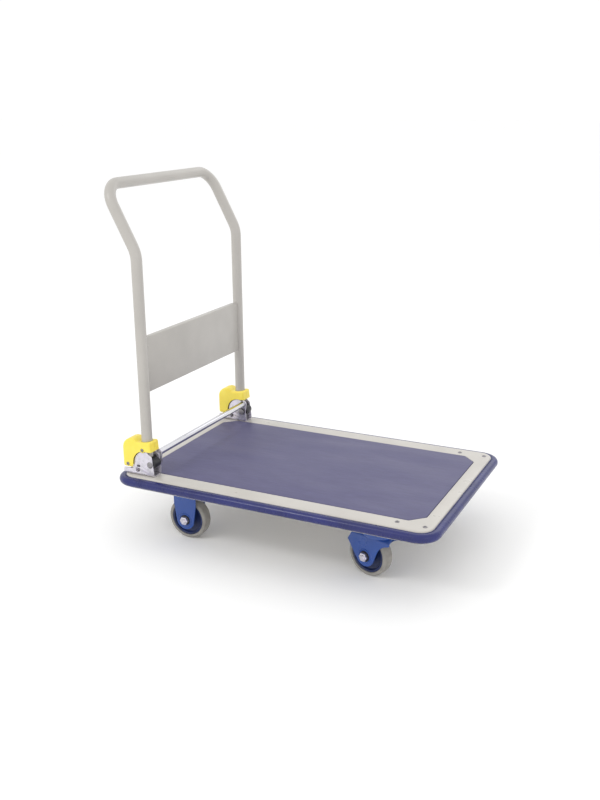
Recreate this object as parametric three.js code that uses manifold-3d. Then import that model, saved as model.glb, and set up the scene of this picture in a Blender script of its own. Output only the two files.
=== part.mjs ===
// Folding platform cart: a pressed steel deck on two rigid and two swivel casters,
// with a push handle that folds down over the deck once the foot bar is released.
// Millimetres, +Z up, +X towards the front end, the handle at the -X end.
import * as THREE from 'three';
import { mergeVertices } from 'three/addons/utils/BufferGeometryUtils.js';
import Module from 'manifold-3d';

const wasm = await Module();
wasm.setup();

// Clearances
const gap = 0.3; // between pieces that touch
const overrun = 1; // how far a cut runs past the face it opens

// How finely round shapes are divided
const arcSteps = 5;
const rodSides = 12;
const screwSides = 8;
const hexSides = 6;
const wheelSides = 24;
const tubeSides = 10;
const tubeSteps = 52;

// Deck
const deckLength = 760;
const deckWidth = 497;
const deckCorner = 32;
const deckSheet = 2;
const skirtDepth = 29;
const matRecess = 2.5;
const matThickness = 2.6;
const matMarginEnd = 31;
const matChamfer = 29.5;
const bumperProud = 17;
const bumperHeight = 20;
const bumperDrop = 3.2;
const bumperRound = 8;
const channelWidth = 112;
const channelFlange = 16;
const cornerScrewSide = 26;
const cornerScrewEnds = [18, 79];
const cornerScrewRadius = 3.2;
const cornerScrewHead = 6.4;
const cornerScrewLength = 4;
const cornerScrewEase = 1;
const cornerScrewRim = 1.1;
const cornerScrewCrown = 1.5;

// Casters
const wheelDiameter = 100;
const tyreWidth = 28;
const tyreDepth = 8.5;
const tyreRound = 4;
const hubRimWidth = 22;
const hubRimDepth = 5;
const hubBossRadius = 14;
const hubBossTaper = 1;
const hubWebHalf = 4;
const sleeveWall = 1.8;
const axleDiameter = 12;
const axleHexRadius = 10.4;
const axleNutThickness = 8;
const axleHeadThickness = 7.5;
const axleEndProud = 3;
const casterSetback = 136;
const casterInset = 80;
const casterPlateLength = 104;
const casterPlateWidth = 84;
const casterPlateCorner = 8;
const casterPlateThickness = 3;
const forkGauge = 3;
const forkInside = 40;
const forkLegRadius = 24;
const legEndLift = 0.08 * Math.PI; // where the leg's straight edges meet its round end
const rigidLegHalf = 30;
const rigidLegTaper = 38;
const tyreClearance = 6;
const crownHeight = 12;
const crownRadius = 40;
const raceHeight = 12.4;
const raceRadius = 36;
const raceTaper = 8;
const raceEase = 2;
const raceLip = 6;
const raceNeck = 4;
const swivelTrail = 25;
const swivelRest = THREE.MathUtils.degToRad(-15);
const guardRear = 48;
const guardShoulder = 30;
const guardDrop = 29;
const roofHalf = 14;
const roofDrop = 11;
const roofShift = 0.4; // how far the roof's slopes move in for each millimetre of inset
const wingReach = 37;
const wingRise = 5;
const wingWaist = 11;
const wingDip = 6;
const kingpinRadius = 7;
const kingpinHeadRadius = 10;
const kingpinHeadThickness = 5;

// Handle
const tubeDiameter = 25.4;
const tubeWall = 1.6;
const postSetback = 60;
const postInset = 28;
const bendRise = 519;
const gripRise = 664;
const gripKick = 76;
const bendRadius = 70;
const gripCorner = 50;
const panelRise = 198;
const panelHeight = 130;
const panelLip = 12;
const panelSheet = 1.5;
const panelForward = 5;

// Hinge, measured from the post's axis and the top of the deck
const hingeSideGap = 0.8;
const hingeSheet = 2.5;
const bracketRear = 59;
const bracketFront = 25;
const bracketStrip = 14.5;
const domeCentre = new THREE.Vector2(2, 29.5);
const domeRadius = 31;
const domeFoot = 34;
const domeEnd = 0.44 * Math.PI;
const noseReach = 20.7;
const noseRise = 48;
const pinForward = 15.3;
const pinRise = 29.7;
const pinRadius = 5;
const pinHeadRadius = 8;
const pinHeadThickness = 3;
const pinHeadEase = 1.5;
const footBoss = 12;
const quadrantRadius = 68;
const quadrantThickness = 8;
const quadrantStart = THREE.MathUtils.degToRad(133);
const quadrantEnd = THREE.MathUtils.degToRad(188);
const quadrantShoulder = 22;
const tubeRise = 46;
const spigotLength = 40;
const coverBack = 58;
const coverTop = 89.5;
const coverWall = 2.5;
const coverRound = 3;
const coverShoulder = 62;
const coverLobeCrest = 34;
const coverLobeFall = 25;
const coverNotchRise = 82;
const coverNotchRear = 19;
const coverFront = 21;
const coverTipRise = 85.5;
const coverTipSlope = 2.5;
const coverTipShoulder = 62;
const coverLow = 18;
const coverRoomDrop = 30;
const coverDomeSpace = 1;
const coverSweep = 32;
const coverSweepTop = 28.8;
const latchWindow = new THREE.Vector2(-19.7, 17);
const latchWindowSize = new THREE.Vector2(9, 12);
const latchWindowLean = 3;
const barForward = 20;
const barRise = 52;
const barRadius = 7.5;
const barWall = 1.5;
const leverThickness = 3;
const leverRound = 8;
const leverFoot = 10;
const springRadius = 9.5;
const springLength = 3.4;
const boltRadius = 4;
const boltHexRadius = 7;
const boltHeadThickness = 4;
const boltLength = 8;
const boltPlaces = [-47, -14];
const coverScrews = { high: new THREE.Vector2(-2.3, 65), low: new THREE.Vector2(-44.6, 26) };
const coverScrewRadius = 4;
const coverScrewShank = 2.4;
const coverScrewHead = 2;
const coverScrewEase = 1;
const coverScrewRim = 0.8;

// Heights that follow from the wheel and the caster's parts
const wheelRadius = wheelDiameter / 2;
const roofInside = wheelDiameter + tyreClearance;
const crownBase = roofInside + forkGauge;
const crownTop = crownBase + crownHeight;
const raceTop = crownTop + gap + raceHeight;
const plateTop = raceTop + casterPlateThickness;
const skirtBottom = plateTop + gap;
const deckTop = skirtBottom + skirtDepth;

// Places along and across the cart, from the middle of the deck
const postX = -deckLength / 2 + postSetback;
const postY = deckWidth / 2 - postInset;
const casterX = deckLength / 2 - casterSetback;
const casterY = deckWidth / 2 - casterInset;
const sides = { right: -1, left: 1 };

// Half widths, counted from the middle of the post or of the wheel
const tubeRadius = tubeDiameter / 2;
const tubeBore = (tubeRadius - tubeWall) * Math.cos(Math.PI / tubeSides);
const hingeInside = tubeRadius + hingeSideGap;
const hingeOutside = hingeInside + hingeSheet;
const matMarginSide = postInset + hingeOutside; // the mat ends in line with the brackets
const coverInside = hingeOutside + gap;
const coverOutside = coverInside + coverWall;
const forkInner = forkInside / 2;
const forkOuter = forkInner + forkGauge;
const axleRadius = axleDiameter / 2;

// Finishes
function finish(color, roughness, metalness) {
  return new THREE.MeshStandardMaterial({ color, roughness, metalness });
}

const cream = finish(0xd9d6ca, 0.45, 0.1);
const handleGrey = finish(0xc9c5ba, 0.4, 0.1);
const matViolet = finish(0x74719a, 0.75, 0);
const bumperBlue = finish(0x403f72, 0.5, 0);
const zinc = finish(0xc8c6ce, 0.35, 0.9);
const brightSteel = finish(0xd6d8dc, 0.25, 1);
const blueEnamel = finish(0x3f5fa0, 0.4, 0.2);
const hubBlue = finish(0x1e2a5c, 0.5, 0);
const tyreGrey = finish(0x9a9690, 0.8, 0);
const coverYellow = finish(0xf0d845, 0.45, 0);
const springSteel = finish(0x8a8c90, 0.4, 1);

// A closed geometry as a solid that can be joined and cut
function solid(geometry) {
  const bare = geometry.clone();
  bare.deleteAttribute('normal');
  bare.deleteAttribute('uv');
  const merged = mergeVertices(bare, 1e-4);
  const corners = merged.index.array;
  const kept = [];
  for (let i = 0; i < corners.length; i += 3) {
    const [a, b, c] = corners.slice(i, i + 3);
    if (a !== b && b !== c && c !== a) kept.push(a, b, c);
  }
  const mesh = new wasm.Mesh({
    numProp: 3,
    vertProperties: new Float32Array(merged.attributes.position.array),
    triVerts: new Uint32Array(kept),
  });
  return new wasm.Manifold(mesh);
}

// A solid back as a three.js geometry
function geometryOf(piece) {
  const mesh = piece.getMesh();
  const geometry = new THREE.BufferGeometry();
  geometry.setAttribute('position', new THREE.BufferAttribute(new Float32Array(mesh.vertProperties), 3));
  geometry.setIndex(new THREE.BufferAttribute(new Uint32Array(mesh.triVerts), 1));
  return geometry;
}

// A plan outline standing between two heights
function slab(shape, bottom, top, options = {}) {
  const bevel = options.bevelThickness ?? 0;
  const geometry = new THREE.ExtrudeGeometry(shape, {
    curveSegments: arcSteps,
    bevelEnabled: false,
    ...options,
    depth: top - bottom - 2 * bevel,
  });
  return geometry.translate(0, 0, bottom + bevel);
}

// A side outline, drawn in x and z, running across the cart from y0 to y1
function across(shape, y0, y1, options = {}) {
  return slab(shape, -y1, -y0, options).rotateX(Math.PI / 2);
}

// An end outline, drawn in y and z, running along the cart from x0 to x1
function along(shape, x0, x1) {
  return slab(shape, x0, x1).rotateX(Math.PI / 2).rotateZ(Math.PI / 2);
}

// A turned piece about the z axis from [radius, height] pairs
function turned(profile, segments, startAngle = 0) {
  const points = profile.map(([radius, height]) => new THREE.Vector2(radius, height));
  return new THREE.LatheGeometry(points, segments, startAngle).rotateX(Math.PI / 2);
}

// The same about the y axis, for axles and wheels
function turnedAcross(profile, segments, startAngle = 0) {
  return turned(profile, segments, startAngle).rotateX(-Math.PI / 2);
}

function rod(radius, from, to, segments = rodSides) {
  return turned([[0, from], [radius, from], [radius, to], [0, to]], segments);
}

// Corner radius of a bore whose flats clear a round pin
function boreRadius(pin) {
  return (pin + gap) / Math.cos(Math.PI / rodSides);
}

function rodAcross(radius, from, to, segments = rodSides) {
  return turnedAcross([[0, from], [radius, from], [radius, to], [0, to]], segments);
}

// Corner radius of a hole whose flats clear a round screw
function holeRadius(screwRadius) {
  return (screwRadius + gap) / Math.cos(Math.PI / screwSides);
}

function polygon(points) {
  return new THREE.Shape(points.map(([x, y]) => new THREE.Vector2(x, y)));
}

function roundedRectangle(length, width, radius, centreX = 0) {
  const shape = new THREE.Shape();
  const x = length / 2 - radius;
  const y = width / 2 - radius;
  shape.absarc(centreX + x, y, radius, 0, Math.PI / 2);
  shape.absarc(centreX - x, y, radius, Math.PI / 2, Math.PI);
  shape.absarc(centreX - x, -y, radius, Math.PI, 1.5 * Math.PI);
  shape.absarc(centreX + x, -y, radius, 1.5 * Math.PI, 2 * Math.PI);
  shape.closePath();
  return shape;
}

function addPiece(group, name, geometry, material) {
  const mesh = new THREE.Mesh(geometry, material);
  mesh.name = name;
  group.add(mesh);
  return mesh;
}

// ---------------------------------------------------------------- deck

// The mat's outline, a rectangle with cut corners, grown all round by extra
function matOutline(extra) {
  const x = deckLength / 2 - matMarginEnd + extra;
  const y = deckWidth / 2 - matMarginSide + extra;
  const cut = matChamfer + extra * (2 - Math.SQRT2);
  return polygon([
    [x, y - cut], [x - cut, y], [-x + cut, y], [-x, y - cut],
    [-x, -y + cut], [-x + cut, -y], [x - cut, -y], [x, -y + cut],
  ]);
}

// Named spots at the given places along x, once for each side
function spotsOnSides(stem, places, fromMiddle, radius) {
  return Object.entries(sides).flatMap(([side, sign]) => places.map((x, index) => ({
    name: `${stem}_${side}_${index + 1}`,
    x,
    y: sign * fromMiddle,
    radius,
  })));
}

const cornerScrewPlaces = cornerScrewEnds.map((end) => deckLength / 2 - end);
const cornerScrewY = deckWidth / 2 - cornerScrewSide;
const cornerScrewSpots = spotsOnSides('corner_screw', cornerScrewPlaces, cornerScrewY, cornerScrewRadius);
const bracketBoltPlaces = boltPlaces.map((place) => postX + place);
const bracketBoltSpots = spotsOnSides('bracket_bolt', bracketBoltPlaces, postY, boltRadius);

function deckPan() {
  const tray = slab(matOutline(gap + deckSheet), deckTop - matRecess - deckSheet, deckTop);
  const hollow = slab(
    roundedRectangle(deckLength - 2 * deckSheet, deckWidth - 2 * deckSheet, deckCorner - deckSheet),
    skirtBottom - overrun,
    deckTop - deckSheet,
  );
  const recess = slab(matOutline(gap), deckTop - matRecess, deckTop + overrun);
  let pan = solid(slab(roundedRectangle(deckLength, deckWidth, deckCorner), skirtBottom, deckTop));
  pan = pan.subtract(solid(hollow).subtract(solid(tray))).subtract(solid(recess));
  for (const { x, y, radius } of [...cornerScrewSpots, ...bracketBoltSpots]) {
    const low = deckTop - matRecess - deckSheet - overrun;
    pan = pan.subtract(solid(rod(holeRadius(radius), low, deckTop + overrun, screwSides).translate(x, y, 0)));
  }
  return geometryOf(pan);
}

// A soft strip with a rounded outer face, pushed round the skirt
function edgeBumper() {
  const top = deckTop - bumperDrop;
  const bottom = top - bumperHeight;
  const outer = roundedRectangle(
    deckLength + 2 * bumperProud,
    deckWidth + 2 * bumperProud,
    deckCorner + bumperProud,
  );
  const inner = roundedRectangle(deckLength + 2 * gap, deckWidth + 2 * gap, deckCorner + gap);
  const strip = slab(outer, bottom, top, {
    bevelEnabled: true,
    bevelThickness: bumperRound,
    bevelSize: bumperRound,
    bevelOffset: -bumperRound,
    bevelSegments: 2,
  });
  return geometryOf(solid(strip).subtract(solid(slab(inner, bottom - overrun, top + overrun))));
}

// A hat section under the deck that stiffens it and carries two casters
function crossChannel() {
  const top = deckTop - matRecess - deckSheet - gap;
  const half = channelWidth / 2;
  const wall = deckSheet;
  const edge = half + channelFlange;
  const reach = deckWidth / 2 - deckSheet - gap;
  const hat = polygon([
    [-half, skirtBottom], [half, skirtBottom], [half, top - wall], [edge, top - wall], [edge, top],
    [half - wall, top], [half - wall, skirtBottom + wall], [-half + wall, skirtBottom + wall],
    [-half + wall, top], [-edge, top], [-edge, top - wall], [-half, top - wall],
  ]);
  return across(hat, -reach, reach);
}

// A low-headed screw that holds the bumper's ends under the deck's front corners
function cornerScrew() {
  const seat = deckTop + gap;
  const crown = cornerScrewHead - cornerScrewEase;
  return turned([
    [0, deckTop - cornerScrewLength], [cornerScrewRadius, deckTop - cornerScrewLength],
    [cornerScrewRadius, seat], [cornerScrewHead, seat], [crown, seat + cornerScrewRim],
    [0, seat + cornerScrewCrown],
  ], screwSides);
}

function buildDeck(cart) {
  addPiece(cart, 'deck_pan', deckPan(), cream);
  const matBottom = deckTop - matRecess + gap;
  addPiece(cart, 'deck_mat', slab(matOutline(0), matBottom, matBottom + matThickness), matViolet);
  addPiece(cart, 'edge_bumper', edgeBumper(), bumperBlue);
  addPiece(cart, 'channel_front', crossChannel(), cream).position.x = casterX;
  addPiece(cart, 'channel_rear', crossChannel(), cream).position.x = -casterX;
  for (const { name, x, y } of cornerScrewSpots) {
    addPiece(cart, name, cornerScrew(), zinc).position.set(x, y, 0);
  }
}

// ---------------------------------------------------------------- wheels and axles

// Flats rather than corners touch the floor, so the corners lie a little further out
const facetGrowth = 1 / Math.cos(Math.PI / wheelSides);

function tyre() {
  const outer = wheelRadius * facetGrowth;
  const inner = wheelRadius - tyreDepth;
  const half = tyreWidth / 2;
  const profile = [
    [inner, -half], [outer - tyreRound, -half], [outer, -half + tyreRound],
    [outer, half - tyreRound], [outer - tyreRound, half], [inner, half], [inner, -half],
  ];
  return turnedAcross(profile, wheelSides, Math.PI / wheelSides);
}

function hub() {
  const rim = wheelRadius - tyreDepth - gap;
  const dish = rim - hubRimDepth;
  const bore = (boreRadius(axleRadius) + sleeveWall + gap) / Math.cos(Math.PI / wheelSides);
  const bossHalf = forkInner - gap;
  const rimHalf = hubRimWidth / 2;
  const bossFoot = hubBossRadius + hubBossTaper;
  const profile = [
    [bore, -bossHalf], [hubBossRadius, -bossHalf], [bossFoot, -hubWebHalf], [dish, -hubWebHalf],
    [dish, -rimHalf], [rim, -rimHalf], [rim, rimHalf], [dish, rimHalf], [dish, hubWebHalf],
    [bossFoot, hubWebHalf], [hubBossRadius, bossHalf], [bore, bossHalf], [bore, -bossHalf],
  ];
  return turnedAcross(profile, wheelSides, Math.PI / wheelSides);
}

// The spacer that the fork clamps and the hub turns on
function axleSleeve() {
  const inner = boreRadius(axleRadius);
  const outer = inner + sleeveWall;
  const half = forkInner - gap;
  return turnedAcross([
    [inner, -half], [outer, -half], [outer, half], [inner, half], [inner, -half],
  ], rodSides);
}

// The head lies on the +y side of the fork and the thread ends past the nut on the -y side
function axleBolt() {
  const headFace = forkOuter + gap;
  const tip = -(headFace + axleNutThickness + axleEndProud);
  const shank = solid(rodAcross(axleRadius, tip, headFace + overrun));
  const head = rodAcross(axleHexRadius, headFace, headFace + axleHeadThickness, hexSides);
  return geometryOf(shank.add(solid(head)));
}

function axleNut() {
  const face = -(forkOuter + gap);
  const hex = solid(rodAcross(axleHexRadius, face - axleNutThickness, face, hexSides));
  const thread = rodAcross(boreRadius(axleRadius), face - axleNutThickness - overrun, overrun);
  return geometryOf(hex.subtract(solid(thread)));
}

// Wheel, sleeve, bolt and nut about an axle; outward is the side that shows the nut
function buildAxle(fork, corner, outward, x) {
  const axle = new THREE.Group();
  axle.position.set(x, 0, wheelRadius);
  axle.rotation.z = outward < 0 ? 0 : Math.PI;
  fork.add(axle);
  addPiece(axle, `wheel_tyre_${corner}`, tyre(), tyreGrey);
  addPiece(axle, `wheel_hub_${corner}`, hub(), hubBlue);
  addPiece(axle, `axle_sleeve_${corner}`, axleSleeve(), zinc);
  addPiece(axle, `axle_bolt_${corner}`, axleBolt(), zinc);
  addPiece(axle, `axle_nut_${corner}`, axleNut(), zinc);
}

// ---------------------------------------------------------------- casters

function casterPlate() {
  const outline = roundedRectangle(casterPlateLength, casterPlateWidth, casterPlateCorner);
  return solid(slab(outline, raceTop, plateTop));
}

function axleHoles(x) {
  const reach = forkOuter + overrun;
  return solid(rodAcross(boreRadius(axleRadius), -reach, reach).translate(x, 0, wheelRadius));
}

// Bottom of a fork leg: a half round about the axle, entered and left a little below it
function addLegEnd(shape) {
  shape.absarc(0, wheelRadius, forkLegRadius, Math.PI + legEndLift, 2 * Math.PI - legEndLift);
}

function rigidFork() {
  const taperZ = wheelRadius + rigidLegTaper;
  const leg = new THREE.Shape();
  leg.moveTo(-rigidLegHalf, raceTop + gap);
  leg.lineTo(-rigidLegHalf, taperZ);
  addLegEnd(leg);
  leg.lineTo(rigidLegHalf, taperZ);
  leg.lineTo(rigidLegHalf, raceTop + gap);
  const room = polygon([
    [-forkInner, 0], [forkInner, 0], [forkInner, raceTop - forkGauge], [-forkInner, raceTop - forkGauge],
  ]);
  const reach = rigidLegHalf + overrun;
  return geometryOf(solid(across(leg, -forkOuter, forkOuter))
    .subtract(solid(along(room, -reach, reach)))
    .add(casterPlate())
    .subtract(axleHoles(0)));
}

// Top plate of a swivel caster with the upper ball race pressed under it
function swivelPlate() {
  const bottom = crownTop + gap;
  const race = turned([
    [0, bottom], [raceRadius - raceTaper, bottom], [raceRadius - raceEase, bottom + raceEase],
    [raceRadius, bottom + raceLip], [raceRadius - raceNeck, raceTop + gap], [0, raceTop + gap],
  ], wheelSides);
  const bore = rod(boreRadius(kingpinRadius), bottom - overrun, plateTop + overrun);
  return geometryOf(casterPlate().add(solid(race)).subtract(solid(bore)));
}

// Outline of the roof over the wheel, across the fork, grown inwards by inset
function roofOutline(inset) {
  const half = forkOuter - inset;
  const shoulder = crownBase - roofDrop - inset * roofShift;
  const top = crownBase - inset;
  const flat = roofHalf - inset * roofShift;
  return polygon([[-half, 0], [half, 0], [half, shoulder], [flat, top], [-flat, top], [-half, shoulder]]);
}

// Swivelling fork about its kingpin, with the axle trailing behind it
function swivelFork() {
  const wingX = swivelTrail + wingReach;
  const leg = new THREE.Shape();
  leg.moveTo(-guardShoulder, crownBase + overrun);
  leg.lineTo(-guardRear, crownBase - guardDrop);
  addLegEnd(leg);
  leg.quadraticCurveTo(swivelTrail + wingWaist, crownBase - wingRise - wingDip, wingX, crownBase - wingRise);
  leg.lineTo(wingX, crownBase + overrun);
  const side = solid(across(leg, -forkOuter, forkOuter));
  const reach = guardRear + wingX + overrun;
  const shell = side.intersect(solid(along(roofOutline(0), -reach, reach)));
  const crown = rod(crownRadius, roofInside, crownTop, wheelSides).translate(swivelTrail, 0, 0);
  const room = along(roofOutline(forkGauge), -reach, reach);
  const bore = rod(boreRadius(kingpinRadius), roofInside - overrun, crownTop + overrun);
  const fork = shell
    .subtract(solid(room))
    .add(solid(crown))
    .subtract(solid(bore.translate(swivelTrail, 0, 0)))
    .subtract(axleHoles(0));
  return geometryOf(fork).translate(-swivelTrail, 0, 0);
}

function kingpin() {
  const headTop = roofInside - gap;
  const headBottom = headTop - kingpinHeadThickness;
  return turned([
    [0, headBottom], [kingpinHeadRadius, headBottom], [kingpinHeadRadius, headTop],
    [kingpinRadius, headTop], [kingpinRadius, plateTop - gap], [0, plateTop - gap],
  ], rodSides);
}

function buildCasters(cart) {
  for (const [side, sign] of Object.entries(sides)) {
    const rigid = new THREE.Group();
    rigid.position.set(-casterX, sign * casterY, 0);
    cart.add(rigid);
    addPiece(rigid, `rigid_fork_${side}`, rigidFork(), blueEnamel);
    buildAxle(rigid, `rear_${side}`, sign, 0);

    const mount = new THREE.Group();
    mount.position.set(casterX, sign * casterY, 0);
    cart.add(mount);
    addPiece(mount, `swivel_plate_${side}`, swivelPlate(), blueEnamel);
    addPiece(mount, `kingpin_${side}`, kingpin(), zinc);
    const swivel = new THREE.Group();
    swivel.rotation.z = swivelRest;
    mount.add(swivel);
    addPiece(swivel, `swivel_fork_${side}`, swivelFork(), blueEnamel);
    buildAxle(swivel, `front_${side}`, sign, -swivelTrail);
  }
}

// ---------------------------------------------------------------- hinges
// Hinge pieces are drawn about the post's axis and the top of the deck, and run from
// -outside to +outside across; the -y face of the right hinge is the outer one.

function onPinArc(radius, angle) {
  return [pinForward + radius * Math.cos(angle), pinRise + radius * Math.sin(angle)];
}

// Side of the bracket: a low strip behind, a dome round the hinge and a sloping nose
function bracketOutline(extra) {
  const shape = new THREE.Shape();
  shape.moveTo(-bracketRear, gap);
  shape.lineTo(-bracketRear, bracketStrip);
  shape.lineTo(-domeFoot - extra, bracketStrip);
  shape.lineTo(domeCentre.x - domeRadius - extra, domeCentre.y);
  shape.absarc(domeCentre.x, domeCentre.y, domeRadius + extra, Math.PI, domeEnd, true);
  shape.lineTo(noseReach + extra, noseRise + extra);
  shape.lineTo(bracketFront + extra, bracketStrip);
  shape.lineTo(bracketFront + extra, gap);
  return shape;
}

function hingeBracket() {
  const plates = solid(across(bracketOutline(0), -hingeOutside, hingeOutside));
  const channel = polygon([
    [-hingeInside, gap + hingeSheet], [hingeInside, gap + hingeSheet],
    [hingeInside, coverTop], [-hingeInside, coverTop],
  ]);
  const { x, y } = latchWindow;
  const halfWidth = latchWindowSize.x / 2;
  const halfHeight = latchWindowSize.y / 2;
  const window = polygon([
    [x - halfWidth - latchWindowLean, y - halfHeight], [x + halfWidth - latchWindowLean, y - halfHeight],
    [x + halfWidth + latchWindowLean, y + halfHeight], [x - halfWidth + latchWindowLean, y + halfHeight],
  ]);
  const reach = hingeOutside + overrun;
  let bracket = plates
    .subtract(solid(along(channel, -bracketRear - overrun, bracketFront + overrun)))
    .subtract(solid(across(window, -reach, reach)))
    .subtract(solid(rodAcross(boreRadius(pinRadius), -reach, reach).translate(pinForward, 0, pinRise)));
  for (const place of boltPlaces) {
    const hole = rod(holeRadius(boltRadius), -overrun, gap + hingeSheet + overrun, screwSides);
    bracket = bracket.subtract(solid(hole.translate(place, 0, 0)));
  }
  return geometryOf(bracket);
}

function bracketBolt() {
  const seat = gap + hingeSheet + gap;
  const shank = solid(rod(boltRadius, seat - boltLength, seat + overrun, screwSides));
  return geometryOf(shank.add(solid(rod(boltHexRadius, seat, seat + boltHeadThickness, hexSides))));
}

// A turned piece whose inner end faces +y, set to face inwards on either side
function facingInwards(geometry, inward) {
  return geometry.rotateZ(inward > 0 ? 0 : Math.PI);
}

// Hinge pin: a plain head outside, and inside a head beyond the lever and its spring
function hingePin(inward) {
  const outer = -(hingeOutside + gap);
  const inner = coverInside + leverThickness + gap + springLength + gap;
  const crown = pinHeadRadius - pinHeadEase;
  const profile = [
    [0, outer - pinHeadThickness], [crown, outer - pinHeadThickness], [pinHeadRadius, outer - pinHeadEase],
    [pinHeadRadius, outer], [pinRadius, outer], [pinRadius, inner], [pinHeadRadius, inner],
    [pinHeadRadius, inner + pinHeadEase], [crown, inner + pinHeadThickness], [0, inner + pinHeadThickness],
  ];
  return facingInwards(turnedAcross(profile, rodSides), inward).translate(pinForward, 0, pinRise);
}

// Forged foot: a block under the tube with a spigot inside it, and a latch quadrant behind
function handleFoot() {
  const half = hingeInside - gap;
  const shoulder = tubeRise - gap;
  const block = new THREE.Shape();
  block.moveTo(-tubeRadius, shoulder);
  block.lineTo(-tubeRadius, pinRise - footBoss);
  block.absarc(pinForward, pinRise, footBoss, -Math.PI / 2, Math.PI / 4);
  block.lineTo(tubeRadius, shoulder);
  const quadrant = new THREE.Shape();
  quadrant.moveTo(...onPinArc(quadrantRadius, quadrantStart));
  quadrant.absarc(pinForward, pinRise, quadrantRadius, quadrantStart, quadrantEnd);
  quadrant.lineTo(0, pinRise - footBoss);
  quadrant.lineTo(0, shoulder);
  quadrant.lineTo(-tubeRadius - gap, shoulder);
  quadrant.lineTo(-tubeRadius - gap, shoulder + quadrantShoulder);
  const spigot = rod(tubeBore - gap, shoulder - overrun, tubeRise + spigotLength);
  const bore = rodAcross(boreRadius(pinRadius), -half - overrun, half + overrun);
  let foot = solid(across(block, -half, half))
    .add(solid(across(quadrant, -quadrantThickness / 2, quadrantThickness / 2)))
    .add(solid(spigot))
    .subtract(solid(bore.translate(pinForward, 0, pinRise)));
  for (const spot of Object.values(coverScrews)) {
    const hole = rodAcross(holeRadius(coverScrewShank), -half - overrun, half + overrun, screwSides);
    foot = foot.subtract(solid(hole.translate(spot.x, 0, spot.y)));
  }
  return geometryOf(foot);
}

// Side outline of the cover, shrunk by inset; low is how far down it reaches
function coverOutline(inset, low) {
  const shape = new THREE.Shape();
  const back = inset - coverBack;
  const top = coverTop - inset;
  const front = coverFront - inset;
  shape.moveTo(front, low);
  shape.lineTo(front, coverTipShoulder);
  shape.lineTo(front - coverTipSlope, coverTipRise - inset);
  shape.lineTo(-coverNotchRear, coverNotchRise - inset);
  shape.quadraticCurveTo(-coverLobeFall, top, -coverLobeCrest, top);
  shape.quadraticCurveTo(back, top, back, coverShoulder);
  shape.lineTo(back, low);
  return shape;
}

// Moulded finger guard that turns with the handle, open below and round the bracket's dome
function hingeCover() {
  const bevel = {
    bevelEnabled: true,
    bevelThickness: coverRound,
    bevelSize: coverRound,
    bevelOffset: -coverRound,
    bevelSegments: 1,
  };
  const reach = coverOutside + overrun;
  const shell = solid(across(coverOutline(0, coverLow), -coverOutside, coverOutside, bevel));
  const room = solid(across(coverOutline(coverWall, coverLow - coverRoomDrop), -coverInside, coverInside));
  const dome = solid(across(bracketOutline(coverDomeSpace), -reach, reach));
  const sweep = solid(rodAcross(coverSweep, -reach, reach, 2 * wheelSides).translate(pinForward, 0, pinRise));
  const front = polygon([
    [pinForward, -overrun], [coverFront + overrun, -overrun],
    [coverFront + overrun, pinRise + coverSweepTop], [pinForward, pinRise + coverSweepTop],
  ]);
  const post = rod(tubeRadius + 2 * gap, tubeRise, coverTop + overrun, wheelSides);
  let cover = shell
    .subtract(room)
    .subtract(dome)
    .subtract(sweep)
    .subtract(solid(across(front, -reach, reach)))
    .subtract(solid(post));
  for (const spot of Object.values(coverScrews)) {
    const hole = rodAcross(holeRadius(coverScrewShank), -reach, reach, screwSides);
    cover = cover.subtract(solid(hole.translate(spot.x, 0, spot.y)));
  }
  return geometryOf(cover);
}

// A pan-head screw through the outer skin of the cover into the foot
function coverScrew(inward) {
  const seat = -(coverOutside + gap);
  const top = seat - coverScrewHead;
  const screw = turnedAcross([
    [0, top], [coverScrewRadius - coverScrewEase, top], [coverScrewRadius, seat - coverScrewRim],
    [coverScrewRadius, seat], [coverScrewShank, seat], [coverScrewShank, quadrantThickness / 2],
    [0, quadrantThickness / 2],
  ], screwSides);
  return facingInwards(screw, inward);
}

// A link from the hinge pin to the end of the foot bar
function releaseLever(inward) {
  const link = new THREE.Shape();
  const tilt = Math.atan2(barRise - pinRise, barForward - pinForward);
  link.absarc(barForward, barRise, leverRound, tilt - Math.PI / 2, tilt + Math.PI / 2);
  link.absarc(pinForward, pinRise, leverFoot, tilt + Math.PI / 2, tilt + 1.5 * Math.PI);
  const faces = [inward * coverInside, inward * (coverInside + leverThickness)].sort((a, b) => a - b);
  const bore = rodAcross(boreRadius(pinRadius), faces[0] - overrun, faces[1] + overrun);
  return geometryOf(solid(across(link, ...faces)).subtract(solid(bore.translate(pinForward, 0, pinRise))));
}

function latchSpring(inward) {
  const start = coverInside + leverThickness + gap;
  const inner = boreRadius(pinRadius);
  const profile = [
    [inner, start], [springRadius, start], [springRadius, start + springLength],
    [inner, start + springLength], [inner, start],
  ];
  return facingInwards(turnedAcross(profile, rodSides), inward).translate(pinForward, 0, pinRise);
}

function releaseBar() {
  const reach = postY - coverInside - leverThickness - gap;
  const inner = barRadius - barWall;
  return turnedAcross([
    [inner, -reach], [barRadius, -reach], [barRadius, reach], [inner, reach], [inner, -reach],
  ], rodSides).translate(barForward, 0, barRise);
}

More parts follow.
